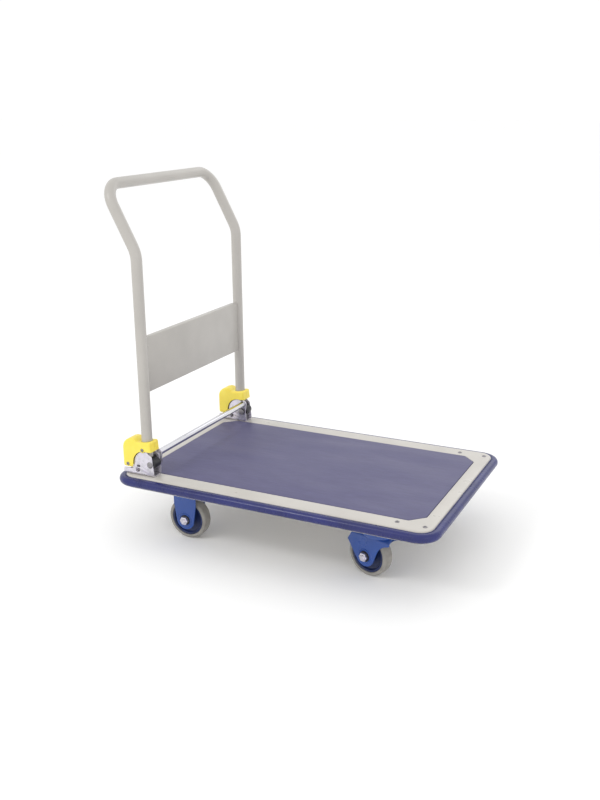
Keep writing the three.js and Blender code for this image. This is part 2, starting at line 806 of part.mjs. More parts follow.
function buildHinges(cart) {
  for (const [side, sign] of Object.entries(sides)) {
    const hinge = new THREE.Group();
    hinge.position.set(postX, sign * postY, deckTop);
    cart.add(hinge);
    const inward = -sign;
    addPiece(hinge, `hinge_bracket_${side}`, hingeBracket(), zinc);
    addPiece(hinge, `hinge_pin_${side}`, hingePin(inward), zinc);
    addPiece(hinge, `handle_foot_${side}`, handleFoot(), zinc);
    addPiece(hinge, `hinge_cover_${side}`, hingeCover(), coverYellow);
    addPiece(hinge, `release_lever_${side}`, releaseLever(inward), zinc);
    addPiece(hinge, `latch_spring_${side}`, latchSpring(inward), springSteel);
    for (const [height, spot] of Object.entries(coverScrews)) {
      const screw = addPiece(hinge, `cover_screw_${side}_${height}`, coverScrew(inward), zinc);
      screw.position.set(spot.x, 0, spot.y);
    }
  }
  for (const { name, x, y } of bracketBoltSpots) {
    addPiece(cart, name, bracketBolt(), zinc).position.set(x, y, deckTop);
  }
  addPiece(cart, 'release_bar', releaseBar(), brightSteel).position.set(postX, 0, deckTop);
}

// ---------------------------------------------------------------- handle

// A path through corner points with a round bend at each inner corner
function bentPath(corners, radii) {
  const path = new THREE.CurvePath();
  let from = corners[0];
  for (let i = 1; i < corners.length - 1; i += 1) {
    const back = corners[i - 1].clone().sub(corners[i]).normalize();
    const ahead = corners[i + 1].clone().sub(corners[i]).normalize();
    const turn = Math.PI - back.angleTo(ahead);
    const reach = radii[i - 1] * Math.tan(turn / 2);
    const pull = (4 / 3) * Math.tan(turn / 4) * radii[i - 1];
    const start = corners[i].clone().addScaledVector(back, reach);
    const end = corners[i].clone().addScaledVector(ahead, reach);
    path.add(new THREE.LineCurve3(from, start));
    path.add(new THREE.CubicBezierCurve3(
      start,
      start.clone().addScaledVector(back, -pull),
      end.clone().addScaledVector(ahead, -pull),
      end,
    ));
    from = end;
  }
  path.add(new THREE.LineCurve3(from, corners[corners.length - 1]));
  return path;
}

function handleTube() {
  const section = new THREE.Shape().absarc(0, 0, tubeRadius, 0, 2 * Math.PI);
  section.holes.push(new THREE.Path().absarc(0, 0, tubeRadius - tubeWall, 0, 2 * Math.PI, true));
  const corners = [
    [0, -postY, tubeRise], [0, -postY, bendRise], [-gripKick, -postY, gripRise],
    [-gripKick, postY, gripRise], [0, postY, bendRise], [0, postY, tubeRise],
  ].map(([x, y, z]) => new THREE.Vector3(x, y, z));
  const extrudePath = bentPath(corners, [bendRadius, gripCorner, gripCorner, bendRadius]);
  const options = { curveSegments: tubeSides / 2, steps: tubeSteps, extrudePath };
  let tube = solid(new THREE.ExtrudeGeometry(section, options));
  for (const sign of Object.values(sides)) {
    const { x, y } = coverScrews.high;
    const hole = rodAcross(holeRadius(coverScrewShank), -hingeOutside, hingeOutside, screwSides);
    tube = tube.subtract(solid(hole.translate(x, sign * postY, y)));
  }
  return geometryOf(tube);
}

// A sheet panel between the posts with its top and bottom edges folded back
function handlePanel() {
  const half = postY - tubeRadius - gap;
  const back = panelForward - panelLip;
  const low = panelRise;
  const high = panelRise + panelHeight;
  const inner = panelForward - panelSheet;
  const fold = polygon([
    [panelForward, low], [panelForward, high], [back, high], [back, high - panelSheet],
    [inner, high - panelSheet], [inner, low + panelSheet], [back, low + panelSheet], [back, low],
  ]);
  return across(fold, -half, half);
}

function buildHandle(cart) {
  const handle = new THREE.Group();
  handle.position.set(postX, 0, deckTop);
  cart.add(handle);
  addPiece(handle, 'handle_tube', handleTube(), handleGrey);
  addPiece(handle, 'handle_panel', handlePanel(), handleGrey);
}

// ---------------------------------------------------------------- whole cart

const cart = new THREE.Group();
buildDeck(cart);
buildCasters(cart);
buildHinges(cart);
buildHandle(cart);

// The origin lies on the floor in the middle of the cart's length, grip included
const rearEnd = Math.min(postX - gripKick - tubeRadius, -deckLength / 2 - bumperProud);
const frontEnd = deckLength / 2 + bumperProud;
cart.position.x = -(rearEnd + frontEnd) / 2;

export default cart;
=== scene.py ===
"""A folding platform cart: a pressed steel deck on two rigid and two swivel casters, with a
push handle that folds down over the deck. Drawn in millimetres, +X to the front, +Z up."""

import math

import bmesh
import bpy
from mathutils import Matrix, Vector


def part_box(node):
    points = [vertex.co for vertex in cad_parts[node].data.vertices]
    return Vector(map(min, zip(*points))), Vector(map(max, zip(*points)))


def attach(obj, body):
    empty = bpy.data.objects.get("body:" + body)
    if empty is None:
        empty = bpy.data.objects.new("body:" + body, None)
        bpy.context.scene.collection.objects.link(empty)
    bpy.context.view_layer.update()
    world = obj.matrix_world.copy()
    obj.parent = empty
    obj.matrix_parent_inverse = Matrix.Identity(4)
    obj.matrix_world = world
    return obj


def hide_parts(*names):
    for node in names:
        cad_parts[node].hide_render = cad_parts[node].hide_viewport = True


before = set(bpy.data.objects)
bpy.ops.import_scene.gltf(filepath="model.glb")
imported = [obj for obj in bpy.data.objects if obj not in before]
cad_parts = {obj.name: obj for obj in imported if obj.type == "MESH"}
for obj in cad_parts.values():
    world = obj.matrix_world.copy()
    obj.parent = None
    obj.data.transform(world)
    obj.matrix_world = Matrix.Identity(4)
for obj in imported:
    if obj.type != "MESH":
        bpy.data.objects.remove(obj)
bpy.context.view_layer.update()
scene = bpy.context.scene
mm = 0.001
sides = {"right": -1, "left": 1}


# ------------------------------------------------------------------ deck pan
# A tray pressed from 2 mm steel sheet: a deep skirt, a rolled rim, and a shallow recess with cut
# corners for the mat. It is enamelled cream after pressing, and everything else fastens to it.

def box(node):
    """Lowest and highest corner of a node of the frame, in millimetres."""
    low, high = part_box(node)
    return low / mm, high / mm


def finish(name, color, roughness, metallic=0.0, **sockets):
    """A new material whose plain values sit on the shader's own sockets."""
    material = bpy.data.materials.new(name)
    material.use_nodes = True
    shader = material.node_tree.nodes["Principled BSDF"]
    values = {"Base Color": (*color, 1.0), "Roughness": roughness, "Metallic": metallic}
    values.update({key.replace("_", " "): value for key, value in sockets.items()})
    for socket, value in values.items():
        shader.inputs[socket].default_value = value
    return material


def pattern(material, size, kind="Noise", stretch=(1, 1, 1), detail=4.0):
    """A texture on object coordinates whose features are about size millimetres across."""
    nodes, links = material.node_tree.nodes, material.node_tree.links
    place = nodes.new("ShaderNodeTexCoord")
    mapping = nodes.new("ShaderNodeMapping")
    mapping.inputs["Scale"].default_value = [1 / (size * mm * part) for part in stretch]
    texture = nodes.new("ShaderNodeTex" + kind)
    texture.inputs["Scale"].default_value = 1.0
    texture.inputs["Detail"].default_value = detail
    links.new(place.outputs["Object"], mapping.inputs["Vector"])
    links.new(mapping.outputs["Vector"], texture.inputs["Vector"])
    return texture.outputs["Distance" if kind == "Voronoi" else "Fac"]


def tint(material, source, stops):
    """Colours the material along a pattern; stops are (place, colour) pairs."""
    nodes, links = material.node_tree.nodes, material.node_tree.links
    ramp = nodes.new("ShaderNodeValToRGB")
    elements = ramp.color_ramp.elements
    while len(elements) < len(stops):
        elements.new(0.5)
    for element, (place, color) in zip(elements, stops):
        element.position = place
        element.color = (*color, 1.0)
    links.new(source, ramp.inputs["Fac"])
    links.new(ramp.outputs["Color"], nodes["Principled BSDF"].inputs["Base Color"])


def sheen_range(material, low, high, **grain):
    """Lets the roughness wander between two values along a pattern."""
    nodes, links = material.node_tree.nodes, material.node_tree.links
    scale = nodes.new("ShaderNodeMapRange")
    limits = {"From Min": 0.3, "From Max": 0.7, "To Min": low, "To Max": high}
    for socket, value in limits.items():
        scale.inputs[socket].default_value = value
    links.new(pattern(material, **grain), scale.inputs["Value"])
    links.new(scale.outputs["Result"], nodes["Principled BSDF"].inputs["Roughness"])


def relief(material, below, depth, **grain):
    """One layer of bumps, depth millimetres high, over the layer below; returns its normal."""
    nodes, links = material.node_tree.nodes, material.node_tree.links
    bump = nodes.new("ShaderNodeBump")
    bump.inputs["Strength"].default_value = 1.0
    bump.inputs["Distance"].default_value = depth * mm
    links.new(pattern(material, **grain), bump.inputs["Height"])
    if below:
        links.new(below, bump.inputs["Normal"])
    return bump.outputs["Normal"]


def lighter(color, share):
    return tuple(min(1.0, part * share) for part in color)


def surface(name, color, roughness, tones, mottle, gloss, bumps, metallic=0.0, **sockets):
    """A finish that is never quite even: its colour follows a mottle through tones, each a share
    of the colour or a colour of its own, its roughness wanders, and bumps lie in layers."""
    material = finish(name, color, roughness, metallic, **sockets)
    stops = [
        (place, tone if isinstance(tone, tuple) else lighter(color, tone)) for place, tone in tones.items()
    ]
    tint(material, pattern(material, **mottle), stops)
    sheen_range(material, **gloss)
    normal = None
    for layer in bumps:
        normal = relief(material, normal, **layer)
    nodes, links = material.node_tree.nodes, material.node_tree.links
    links.new(normal, nodes["Principled BSDF"].inputs["Normal"])
    return material


def enamel(name, color, spread=0.05, roughness=0.32):
    """Baked enamel on pressed steel: a slightly uneven film with fine orange peel and dust."""
    return surface(
        name, color, roughness, tones={0.3: 1 - spread, 0.7: 1 + spread}, mottle=dict(size=90, detail=6),
        gloss=dict(low=roughness - 0.05, high=roughness + 0.1, size=35),
        bumps=[dict(depth=0.018, size=2.2, detail=2), dict(depth=0.004, size=0.5)],
        Coat_Weight=0.25, Coat_Roughness=0.18,
    )


def smooth(piece, sharp=35):
    """Smooth shading with a crease wherever faces meet at more than the sharp angle."""
    piece.data.shade_smooth()
    piece.data.set_sharp_from_angle(angle=math.radians(sharp))


def new_piece(name, verts, faces, material, sharp=35):
    """A closed mesh from points in millimetres, welded and with its faces turned outwards."""
    mesh = bpy.data.meshes.new(name)
    mesh.from_pydata([Vector(point) * mm for point in verts], [], faces)
    work = bmesh.new()
    work.from_mesh(mesh)
    bmesh.ops.remove_doubles(work, verts=work.verts, dist=0.002 * mm)
    loose = [edge for edge in work.edges if not edge.link_faces]
    bmesh.ops.delete(work, geom=loose, context="EDGES")
    bmesh.ops.recalc_face_normals(work, faces=work.faces)
    if work.calc_volume(signed=True) < 0:
        bmesh.ops.reverse_faces(work, faces=work.faces)
    work.to_mesh(mesh)
    work.free()
    mesh.materials.append(material)
    piece = bpy.data.objects.new(name, mesh)
    scene.collection.objects.link(piece)
    smooth(piece, sharp)
    return piece


def loft(rings, closed=False):
    """Points and faces over rings of points; an open row of rings is capped at both ends."""
    count = len(rings[0])
    verts = [point for ring in rings for point in ring]
    faces = []
    for row in range(len(rings) if closed else len(rings) - 1):
        here, there = row * count, (row + 1) % len(rings) * count
        for i in range(count):
            j = (i + 1) % count
            faces.append((here + i, here + j, there + j, there + i))
    if not closed:
        faces.append(tuple(range(count)))
        faces.append(tuple(range(len(verts) - count, len(verts))))
    return verts, faces


def fasten(piece, body, finish_slot, *nodes):
    """The piece rides on a body and stands for these nodes, whose own parts it hides. finish_slot is not
    used.
    """
    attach(piece, body)
    if nodes:
        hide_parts(*nodes)


pan_low, pan_high = box("deck_pan")
mat_low, mat_high = box("deck_mat")
deck_top = pan_high.z
deck_middle = (pan_low.x + pan_high.x) / 2
pan_corner = 32
pan_sheet = 2
pan_rim = 4
pan_recess = 2.5
recess_step = 1.2
recess_slope = 1
recess_ledge = 3
mat_cut = 29.5
mat_corner = 4
mat_joint = 1.1
bend_steps = 7
rounding_steps = 6
square_cut = 2 - math.sqrt(2)


def plan_ring(half_x, half_y, cut, radius, z):
    """A level ring round a rectangle with cut corners, its eight bends rounded."""
    slant = (half_x + half_y - cut) / math.sqrt(2)
    reach = [half_x, slant, half_y, slant] * 2
    ring = []
    for k in range(8):
        start, end = k * math.pi / 4, (k + 1) * math.pi / 4
        near, far = reach[k] - radius, reach[(k + 1) % 8] - radius
        span = math.sin(end - start)
        centre_x = (near * math.sin(end) - far * math.sin(start)) / span
        centre_y = (far * math.cos(start) - near * math.cos(end)) / span
        for step in range(bend_steps + 1):
            turn = start + (end - start) * step / bend_steps
            x = deck_middle + centre_x + radius * math.cos(turn)
            ring.append((x, centre_y + radius * math.sin(turn), z))
    return ring


def skirt_ring(outset, z):
    """A ring that keeps its distance from the outside of the skirt."""
    radius = pan_corner + outset
    half_x = (pan_high.x - pan_low.x) / 2 + outset
    return plan_ring(half_x, pan_high.y + outset, radius * square_cut, radius, z)


def mat_ring(outset, z):
    """A ring that keeps its distance from the edge of the mat."""
    half_x = (mat_high.x - mat_low.x) / 2 + outset
    return plan_ring(half_x, mat_high.y + outset, mat_cut + outset * square_cut, mat_corner + outset, z)


def quarter(steps=rounding_steps):
    """(1 - cos, sin) pairs from a vertical to a level tangent."""
    turns = [math.pi / 2 * step / steps for step in range(steps + 1)]
    return [(1 - math.cos(turn), math.sin(turn)) for turn in turns]


def deck_pan():
    """The skin of the sheet, from the middle of its lower face round the rim to the recess."""
    floor = deck_top - pan_recess
    rings = [
        mat_ring(mat_joint - recess_ledge, floor - pan_sheet),
        mat_ring(mat_joint + pan_sheet, floor - pan_sheet),
        mat_ring(mat_joint + pan_sheet + recess_slope, deck_top - pan_sheet),
        skirt_ring(-pan_rim, deck_top - pan_sheet),
        skirt_ring(-pan_sheet, deck_top - pan_rim),
        skirt_ring(-pan_sheet, pan_low.z),
        skirt_ring(0, pan_low.z),
    ]
    for inward, rise in quarter():
        rings.append(skirt_ring(-pan_rim * inward, deck_top - pan_rim + pan_rim * rise))
    for inward, rise in quarter():
        rings.append(mat_ring(mat_joint + recess_step * (1 - rise), deck_top - recess_step * inward))
    rings.append(mat_ring(mat_joint, floor))
    rings.append(mat_ring(mat_joint - recess_ledge, floor))
    return loft(rings)


cream = (0.53, 0.505, 0.465)
deck_enamel = enamel("cream enamel", cream)
fasten(new_piece("pressed_deck", *deck_pan(), deck_enamel), "platform", "deck_enamel", "deck_pan")


# ------------------------------------------------------------------ channels
# Two hat sections rolled from the same sheet and spot welded under the pan. They stiffen the
# deck, and the caster plates are bolted up against them.

def rounded(points, radius, steps=4, closed=True):
    """An outline with an arc at each corner; radius is one number, or one for each corner."""
    corners = [Vector(point) for point in points]
    radii = radius if isinstance(radius, list) else [radius] * len(corners)
    outline = []
    for i, corner in enumerate(corners):
        if radii[i] == 0 or (not closed and i in (0, len(corners) - 1)):
            outline.append(corner)
            continue
        back = (corners[i - 1] - corner).normalized()
        ahead = (corners[(i + 1) % len(corners)] - corner).normalized()
        turn = math.pi - back.angle(ahead)
        centre = corner + (back + ahead).normalized() * (radii[i] / math.cos(turn / 2))
        spoke = corner + back * radii[i] * math.tan(turn / 2) - centre
        way = 1 if back.cross(ahead) < 0 else -1
        for step in range(steps + 1):
            outline.append(centre + Matrix.Rotation(way * turn * step / steps, 2) @ spoke)
    return outline


def bent_sheet(path, radius, thickness, steps=4):
    """The section of a sheet that follows a bent line, with the line in its middle."""
    line = rounded(path, radius, steps, closed=False)
    outer, inner = [], []
    for i, point in enumerate(line):
        along = (line[min(i + 1, len(line) - 1)] - line[max(i - 1, 0)]).normalized()
        offset = Vector((-along.y, along.x)) * thickness / 2
        outer.append(point + offset)
        inner.append(point - offset)
    return outer + inner[::-1]


def settle(piece, sharp=35):
    """Replaces a piece's mesh by the result of its modifiers, and removes them."""
    bpy.context.view_layer.update()
    graph = bpy.context.evaluated_depsgraph_get()
    mesh = bpy.data.meshes.new_from_object(piece.evaluated_get(graph), depsgraph=graph)
    piece.modifiers.clear()
    piece.data = mesh
    smooth(piece, sharp)
    return piece


def ease(piece, width, segments=2, angle=40, sharp=35):
    """Rounds the edges where faces meet at more than the angle."""
    bevel = piece.modifiers.new("eased edges", "BEVEL")
    bevel.width = width * mm
    bevel.segments = segments
    bevel.limit_method = "ANGLE"
    bevel.angle_limit = math.radians(angle)
    bevel.use_clamp_overlap = True
    return settle(piece, sharp)


def bar_across(name, section, y_from, y_to, material):
    """A section drawn in x and z, run across the cart."""
    rings = [[(x, y, z) for x, z in section] for y in (y_from, y_to)]
    return new_piece(name, *loft(rings), material)


channel_flange = 16
channel_bend = 4
channel_edge = 0.4


def channel(node):
    low, high = box(node)
    half = pan_sheet / 2
    wall_low, wall_high = low.x + channel_flange + half, high.x - channel_flange - half
    top, bottom = high.z - half, low.z + half
    path = [
        (low.x, top), (wall_low, top), (wall_low, bottom),
        (wall_high, bottom), (wall_high, top), (high.x, top),
    ]
    hat = bar_across(node + "_hat", bent_sheet(path, channel_bend, pan_sheet), low.y, high.y, deck_enamel)
    fasten(ease(hat, channel_edge), "platform", "deck_enamel", node)


for end in ("front", "rear"):
    channel(f"channel_{end}")


# ------------------------------------------------------------------ mat
# A sheet of embossed vinyl, 2.6 mm thick with cut corners, glued into the recess of the pan. It
# is matt, with a fine pebbled grain that runs along the cart and keeps boxes from sliding.

mat_edge = 0.9
mat_edge_steps = 4
mat_violet = (0.102, 0.098, 0.192)


streak = dict(size=4, stretch=(7, 1, 1), detail=6)
violet_vinyl = surface(
    "violet vinyl", mat_violet, 0.55, tones={0.3: 0.93, 0.5: 1.0, 0.72: 1.08}, mottle=streak,
    gloss=dict(low=0.46, high=0.62, size=60, stretch=(3, 1, 1)),
    bumps=[
        dict(depth=0.05, **streak), dict(depth=0.22, size=1.6, kind="Voronoi", stretch=(1.7, 1, 1), detail=0),
        dict(depth=0.05, size=0.7),
    ],
    Specular_IOR_Level=0.45,
)


def deck_mat():
    bottom, top = mat_low.z, mat_high.z
    rings = [mat_ring(0, bottom)]
    for inward, rise in quarter(mat_edge_steps):
        rings.append(mat_ring(-mat_edge * inward, top - mat_edge + mat_edge * rise))
    return loft(rings)


fasten(new_piece("vinyl_mat", *deck_mat(), violet_vinyl), "platform", "mat_vinyl", "deck_mat")


# ------------------------------------------------------------------ bumper
# A soft vinyl extrusion stretched round the skirt. Its section is a D with a thin lip that seals
# against the pan above and a heel that turns in below.

bumper_low, bumper_high = box("edge_bumper")
bumper_proud = bumper_high.y - pan_high.y
bumper_round = 9.5
bumper_steps = 14
bumper_groove = 1.8
bumper_seat = 0.3
heel_rise, heel_reach = 1.5, 3
lip_width, lip_drop = 0.9, 0.2
bumper_navy = (0.016, 0.020, 0.118)


def bumper_section():
    """(outset, height) pairs round the strip, from the foot of its inner face."""
    seat, top, bottom = bumper_seat, bumper_high.z, bumper_low.z
    middle, half = (top + bottom) / 2, (top - bottom) / 2
    face = []
    for step in range(bumper_steps + 1):
        turn = math.pi * (step / bumper_steps - 0.5)
        face.append((bumper_proud - bumper_round * (1 - math.cos(turn)), middle + half * math.sin(turn)))
    heel = [(seat, bottom + heel_rise), (seat + heel_reach, bottom), face[0]]
    foot = rounded(heel, [0, 1, 0], closed=False)
    lip = rounded([
        face[-1], (seat + 2 * bumper_groove, top), (seat + bumper_groove, top - bumper_groove),
        (seat + lip_width, top - lip_drop), (seat, top - lip_drop),
    ], [0, 0.6, 0.4, 0.3, 0], closed=False)
    return foot[:-1] + face + lip[1:]


navy_vinyl = surface(
    "navy vinyl", bumper_navy, 0.26, tones={0.3: 0.85, 0.7: 1.25}, mottle=dict(size=45, detail=5),
    gloss=dict(low=0.2, high=0.34, size=22), bumps=[dict(depth=0.014, size=5), dict(depth=0.008, size=0.6)],
    Specular_IOR_Level=0.4, Coat_Weight=0.05,
)
bumper_rings = [skirt_ring(outset, z) for outset, z in bumper_section()]
bumper = new_piece("bumper_strip", *loft(bumper_rings, closed=True), navy_vinyl, sharp=50)
fasten(bumper, "platform", "bumper_vinyl", "edge_bumper")


# ------------------------------------------------------------------ corner screws
# Low pan-head screws with a cross recess, two in each front corner of the border. They hold the
# ends of the bumper under the pan.

def socket_id(tree, name):
    """The identifier of a named input of a node tree."""
    for item in tree.interface.items_tree:
        if item.item_type == "SOCKET" and item.in_out == "INPUT" and item.name == name:
            return item.identifier


def new_tree(name, inputs):
    """An empty geometry tree with named inputs; returns it with its two group nodes."""
    tree = bpy.data.node_groups.new(name, "GeometryNodeTree")
    tree.interface.new_socket("Geometry", in_out="INPUT", socket_type="NodeSocketGeometry")
    tree.interface.new_socket("Geometry", in_out="OUTPUT", socket_type="NodeSocketGeometry")
    for label, kind in inputs.items():
        tree.interface.new_socket(label, in_out="INPUT", socket_type="NodeSocket" + kind)
    return tree, tree.nodes.new("NodeGroupInput"), tree.nodes.new("NodeGroupOutput")


def add(tree, kind, values=None, **links):
    """A node of the tree, with plain values and with links given as socket = output."""
    node = tree.nodes.new(kind)
    for socket, value in (values or {}).items():
        if isinstance(socket, str) and hasattr(node, socket):
            setattr(node, socket, value)
        else:
            node.inputs[socket].default_value = value
    for socket, output in links.items():
        tree.links.new(output, node.inputs[socket.replace("_", " ")])
    return node


def sized(tree, x, y, z):
    """A vector from three outputs or numbers."""
    node = tree.nodes.new("ShaderNodeCombineXYZ")
    for socket, value in zip("XYZ", (x, y, z)):
        if isinstance(value, (int, float)):
            node.inputs[socket].default_value = value
        else:
            tree.links.new(value, node.inputs[socket])
    return node.outputs["Vector"]


def instance_everywhere(tree, given, result, shape):
    """Sets the shape on every point of the input, facing the given way, as real geometry."""
    face = add(tree, "FunctionNodeAlignRotationToVector", {"axis": "Z"}, Vector=given.outputs["Facing"])
    spread = add(
        tree, "GeometryNodeInstanceOnPoints", Points=given.outputs["Geometry"], Instance=shape,
        Rotation=face.outputs["Rotation"],
    )
    real = add(tree, "GeometryNodeRealizeInstances", Geometry=spread.outputs["Instances"])
    done = add(
        tree, "GeometryNodeSetMaterial", Geometry=real.outputs["Geometry"],
        Material=given.outputs["Material"],
    )
    tree.links.new(done.outputs["Geometry"], result.inputs["Geometry"])


slot_share = 1.15


def screw_tree():
    """Domed heads with a cross recess, on points: the head is a flattened ball cut by two slots."""
    inputs = {"Radius": "Float", "Height": "Float", "Recess": "Float",
              "Facing": "Vector", "Material": "Material"}
    tree, given, result = new_tree("cross-head screws", inputs)
    ball = add(tree, "GeometryNodeMeshUVSphere", {"Segments": 28, "Rings": 14, "Radius": 1.0})
    scale = sized(tree, given.outputs["Radius"], given.outputs["Radius"], given.outputs["Height"])
    dome = add(tree, "GeometryNodeTransform", Geometry=ball.outputs["Mesh"], Scale=scale)
    length = add(tree, "ShaderNodeMath", {"operation": "MULTIPLY", 1: slot_share})
    tree.links.new(given.outputs["Radius"], length.inputs[0])
    slots = add(tree, "GeometryNodeJoinGeometry")
    cut = add(tree, "GeometryNodeMeshBoolean", {"operation": "DIFFERENCE"})
    tree.links.new(dome.outputs["Geometry"], cut.inputs["Mesh 1"])
    for x, y in ((length.outputs[0], given.outputs["Recess"]), (given.outputs["Recess"], length.outputs[0])):
        slot = add(tree, "GeometryNodeMeshCube", Size=sized(tree, x, y, given.outputs["Height"]))
        lift = add(
            tree, "GeometryNodeTransform", Geometry=slot.outputs["Mesh"],
            Translation=sized(tree, 0, 0, given.outputs["Height"]),
        )
        tree.links.new(lift.outputs["Geometry"], cut.inputs["Mesh 2"])
    instance_everywhere(tree, given, result, cut.outputs["Mesh"])
    return tree


def spread(name, tree, points, material, **values):
    """A plain mesh of the tree's shape on points in millimetres; sizes are in millimetres too."""
    mesh = bpy.data.meshes.new(name)
    mesh.from_pydata([Vector(point) * mm for point in points], [], [])
    mesh.materials.append(material)
    piece = bpy.data.objects.new(name, mesh)
    scene.collection.objects.link(piece)
    nodes = piece.modifiers.new("shapes", "NODES")
    nodes.node_group = tree
    nodes[socket_id(tree, "Material")] = material
    for label, value in values.items():
        wanted = label.replace("_", " ")
        nodes[socket_id(tree, wanted)] = value if wanted == "Facing" else value * mm
    return settle(piece)


def zinc_finish(name, color, roughness=0.3):
    """Bright zinc plating: a faint violet cast, cloudy spangle and fine rolling lines."""
    violet_cast = (color[0] * 1.08, color[1] * 1.04, color[2] * 1.12)
    return surface(
        name, color, roughness, tones={0.3: 0.82, 0.5: 1.0, 0.7: violet_cast}, mottle=dict(size=14, detail=6),
        gloss=dict(low=roughness - 0.07, high=roughness + 0.14, size=5, detail=5),
        bumps=[dict(depth=0.006, size=1.4, stretch=(6, 1, 1)), dict(depth=0.003, size=0.4)], metallic=0.85,
    )


def node_middle(node):
    low, high = box(node)
    return (low + high) / 2


zinc = zinc_finish("bright zinc", (0.66, 0.64, 0.70))
dull_zinc = zinc_finish("dull zinc", (0.30, 0.29, 0.30), 0.42)
screws = screw_tree()
corner_head = 5.2
corner_rise = 1.9
corner_recess = 1.3
corner_nodes = [f"corner_screw_{side}_{number}" for side in sides for number in (1, 2)]
corner_points = [(*node_middle(node).xy, deck_top) for node in corner_nodes]
corner_screws = spread(
    "corner_screws", screws, corner_points, dull_zinc,
    Radius=corner_head, Height=corner_rise, Recess=corner_recess, Facing=(0, 0, 1),
)
fasten(corner_screws, "platform", "zinc_plate", *corner_nodes)


# ------------------------------------------------------------------ rigid casters
# Under the handle end: a U pressed from 3 mm sheet whose legs taper to the axle, welded to a top
# plate with four bolt holes, and dipped in gloss blue enamel.

def plate(name, outlines, origin, along, up, thickness, material, edge=0.4, sharp=35):
    """A flat piece with eased edges: the first outline is the outside and the others are holes,
    drawn in along and up from the origin, and its thickness goes towards along x up."""
    curve = bpy.data.curves.new(name, "CURVE")
    curve.dimensions = "2D"
    curve.fill_mode = "BOTH"
    curve.extrude = thickness / 2 - edge
    curve.bevel_depth = edge
    curve.bevel_resolution = 3 if edge > 1 else 1
    curve.offset = -edge
    for outline in outlines:
        spline = curve.splines.new("POLY")
        spline.points.add(len(outline) - 1)
        for point, (x, y) in zip(spline.points, outline):
            point.co = (x, y, 0, 1)
        spline.use_cyclic_u = True
    drawing = bpy.data.objects.new(name, curve)
    scene.collection.objects.link(drawing)
    bpy.context.view_layer.update()
    graph = bpy.context.evaluated_depsgraph_get()
    flat = bpy.data.meshes.new_from_object(drawing.evaluated_get(graph))
    along, up = Vector(along), Vector(up)
    normal = along.cross(up)
    turn = Matrix((along, up, normal)).transposed().to_4x4()
    middle = Vector(origin) + normal * thickness / 2
    flat.transform(Matrix.Translation(middle) @ turn)
    verts = [tuple(vert.co) for vert in flat.vertices]
    faces = [tuple(face.vertices) for face in flat.polygons]
    bpy.data.objects.remove(drawing)
    return new_piece(name, verts, faces, material, sharp)


def carve(piece, operation, *cutters, sharp=35):
    """Cuts the piece by, joins it to, or keeps only what it shares with, the other pieces."""
    for cutter in cutters:
        cut = piece.modifiers.new("cut", "BOOLEAN")
        cut.operation = operation
        cut.solver = "EXACT"
        cut.object = cutter
    settle(piece, sharp)
    for cutter in cutters:
        bpy.data.objects.remove(cutter)
    return piece


def join(name, *parts, sharp=35):
    """Several closed meshes as one piece, with the materials of all of them."""
    whole = bmesh.new()
    mesh = bpy.data.meshes.new(name)
    for part in parts:
        slots = []
        for material in part.data.materials:
            if material.name not in mesh.materials:
                mesh.materials.append(material)
            slots.append(mesh.materials.find(material.name))
        for face in part.data.polygons:
            face.material_index = slots[face.material_index]
        whole.from_mesh(part.data)
        bpy.data.objects.remove(part)
    whole.to_mesh(mesh)
    whole.free()
    piece = bpy.data.objects.new(name, mesh)
    scene.collection.objects.link(piece)
    smooth(piece, sharp)
    return piece


def turned(name, profile, centre, axis, material, steps=48, sharp=35):
    """A piece turned about an axis through the centre, from (radius, distance) pairs. A profile
    that keeps off the axis closes on itself."""
    turn = Vector(axis).to_track_quat("Z", "Y").to_matrix()
    rings = []
    for step in range(steps):
        angle = 2 * math.pi * step / steps
        across, aside = math.cos(angle), math.sin(angle)
        rings.append([
            Vector(centre) + turn @ Vector((across * radius, aside * radius, far)) for radius, far in profile
        ])
    return new_piece(name, *loft(rings, closed=True), material, sharp)


def arc(centre_x, centre_y, radius, start, end, steps=10):
    """Points of an arc, in degrees, as (x, y) pairs."""
    turns = [math.radians(start + (end - start) * step / steps) for step in range(steps + 1)]
    return [(centre_x + radius * math.cos(turn), centre_y + radius * math.sin(turn)) for turn in turns]


def in_plan(points, angle, origin):
    """Points drawn about an origin, turned in plan by an angle in degrees."""
    turn = Matrix.Rotation(math.radians(angle), 3, "Z")
    return [Vector(origin) + turn @ Vector(point) for point in points]


def reseat(piece, angle, origin):
    """Turns a piece drawn about the floor point under it, and puts that point in its place."""
    turn = Matrix.Rotation(math.radians(angle), 4, "Z")
    piece.data.transform(Matrix.Translation(Vector(origin) * mm) @ turn)
    return piece


wheel_radius = 50
fork_gauge = 3
fork_inner = 20
fork_outer = fork_inner + fork_gauge
fork_edge = 0.9
leg_end = 24
caster_blue = (0.016, 0.068, 0.310)
caster_enamel = enamel("blue enamel", caster_blue, 0.1, 0.3)
plate_size = box("swivel_plate_right")
plate_half_x = (plate_size[1].x - plate_size[0].x) / 2
plate_half_y = (plate_size[1].y - plate_size[0].y) / 2
plate_top = plate_size[1].z
plate_gauge = 3
plate_under = plate_top - plate_gauge
plate_corner = 8
plate_edge = 0.6


def caster_plate(name):
    corners = [(-plate_half_x, -plate_half_y), (plate_half_x, -plate_half_y),
               (plate_half_x, plate_half_y), (-plate_half_x, plate_half_y)]
    outline = rounded(corners, plate_corner, 6)
    origin, along, up = (0, 0, plate_under), (1, 0, 0), (0, 1, 0)
    return plate(name, [outline], origin, along, up, plate_gauge, caster_enamel, plate_edge)


def side_plate(name, outlines, half, material, edge=0.4, sharp=35):
    """A plate drawn in x and z that runs from -half to +half across."""
    return plate(name, outlines, (0, half, 0), (1, 0, 0), (0, 0, 1), 2 * half, material, edge, sharp)


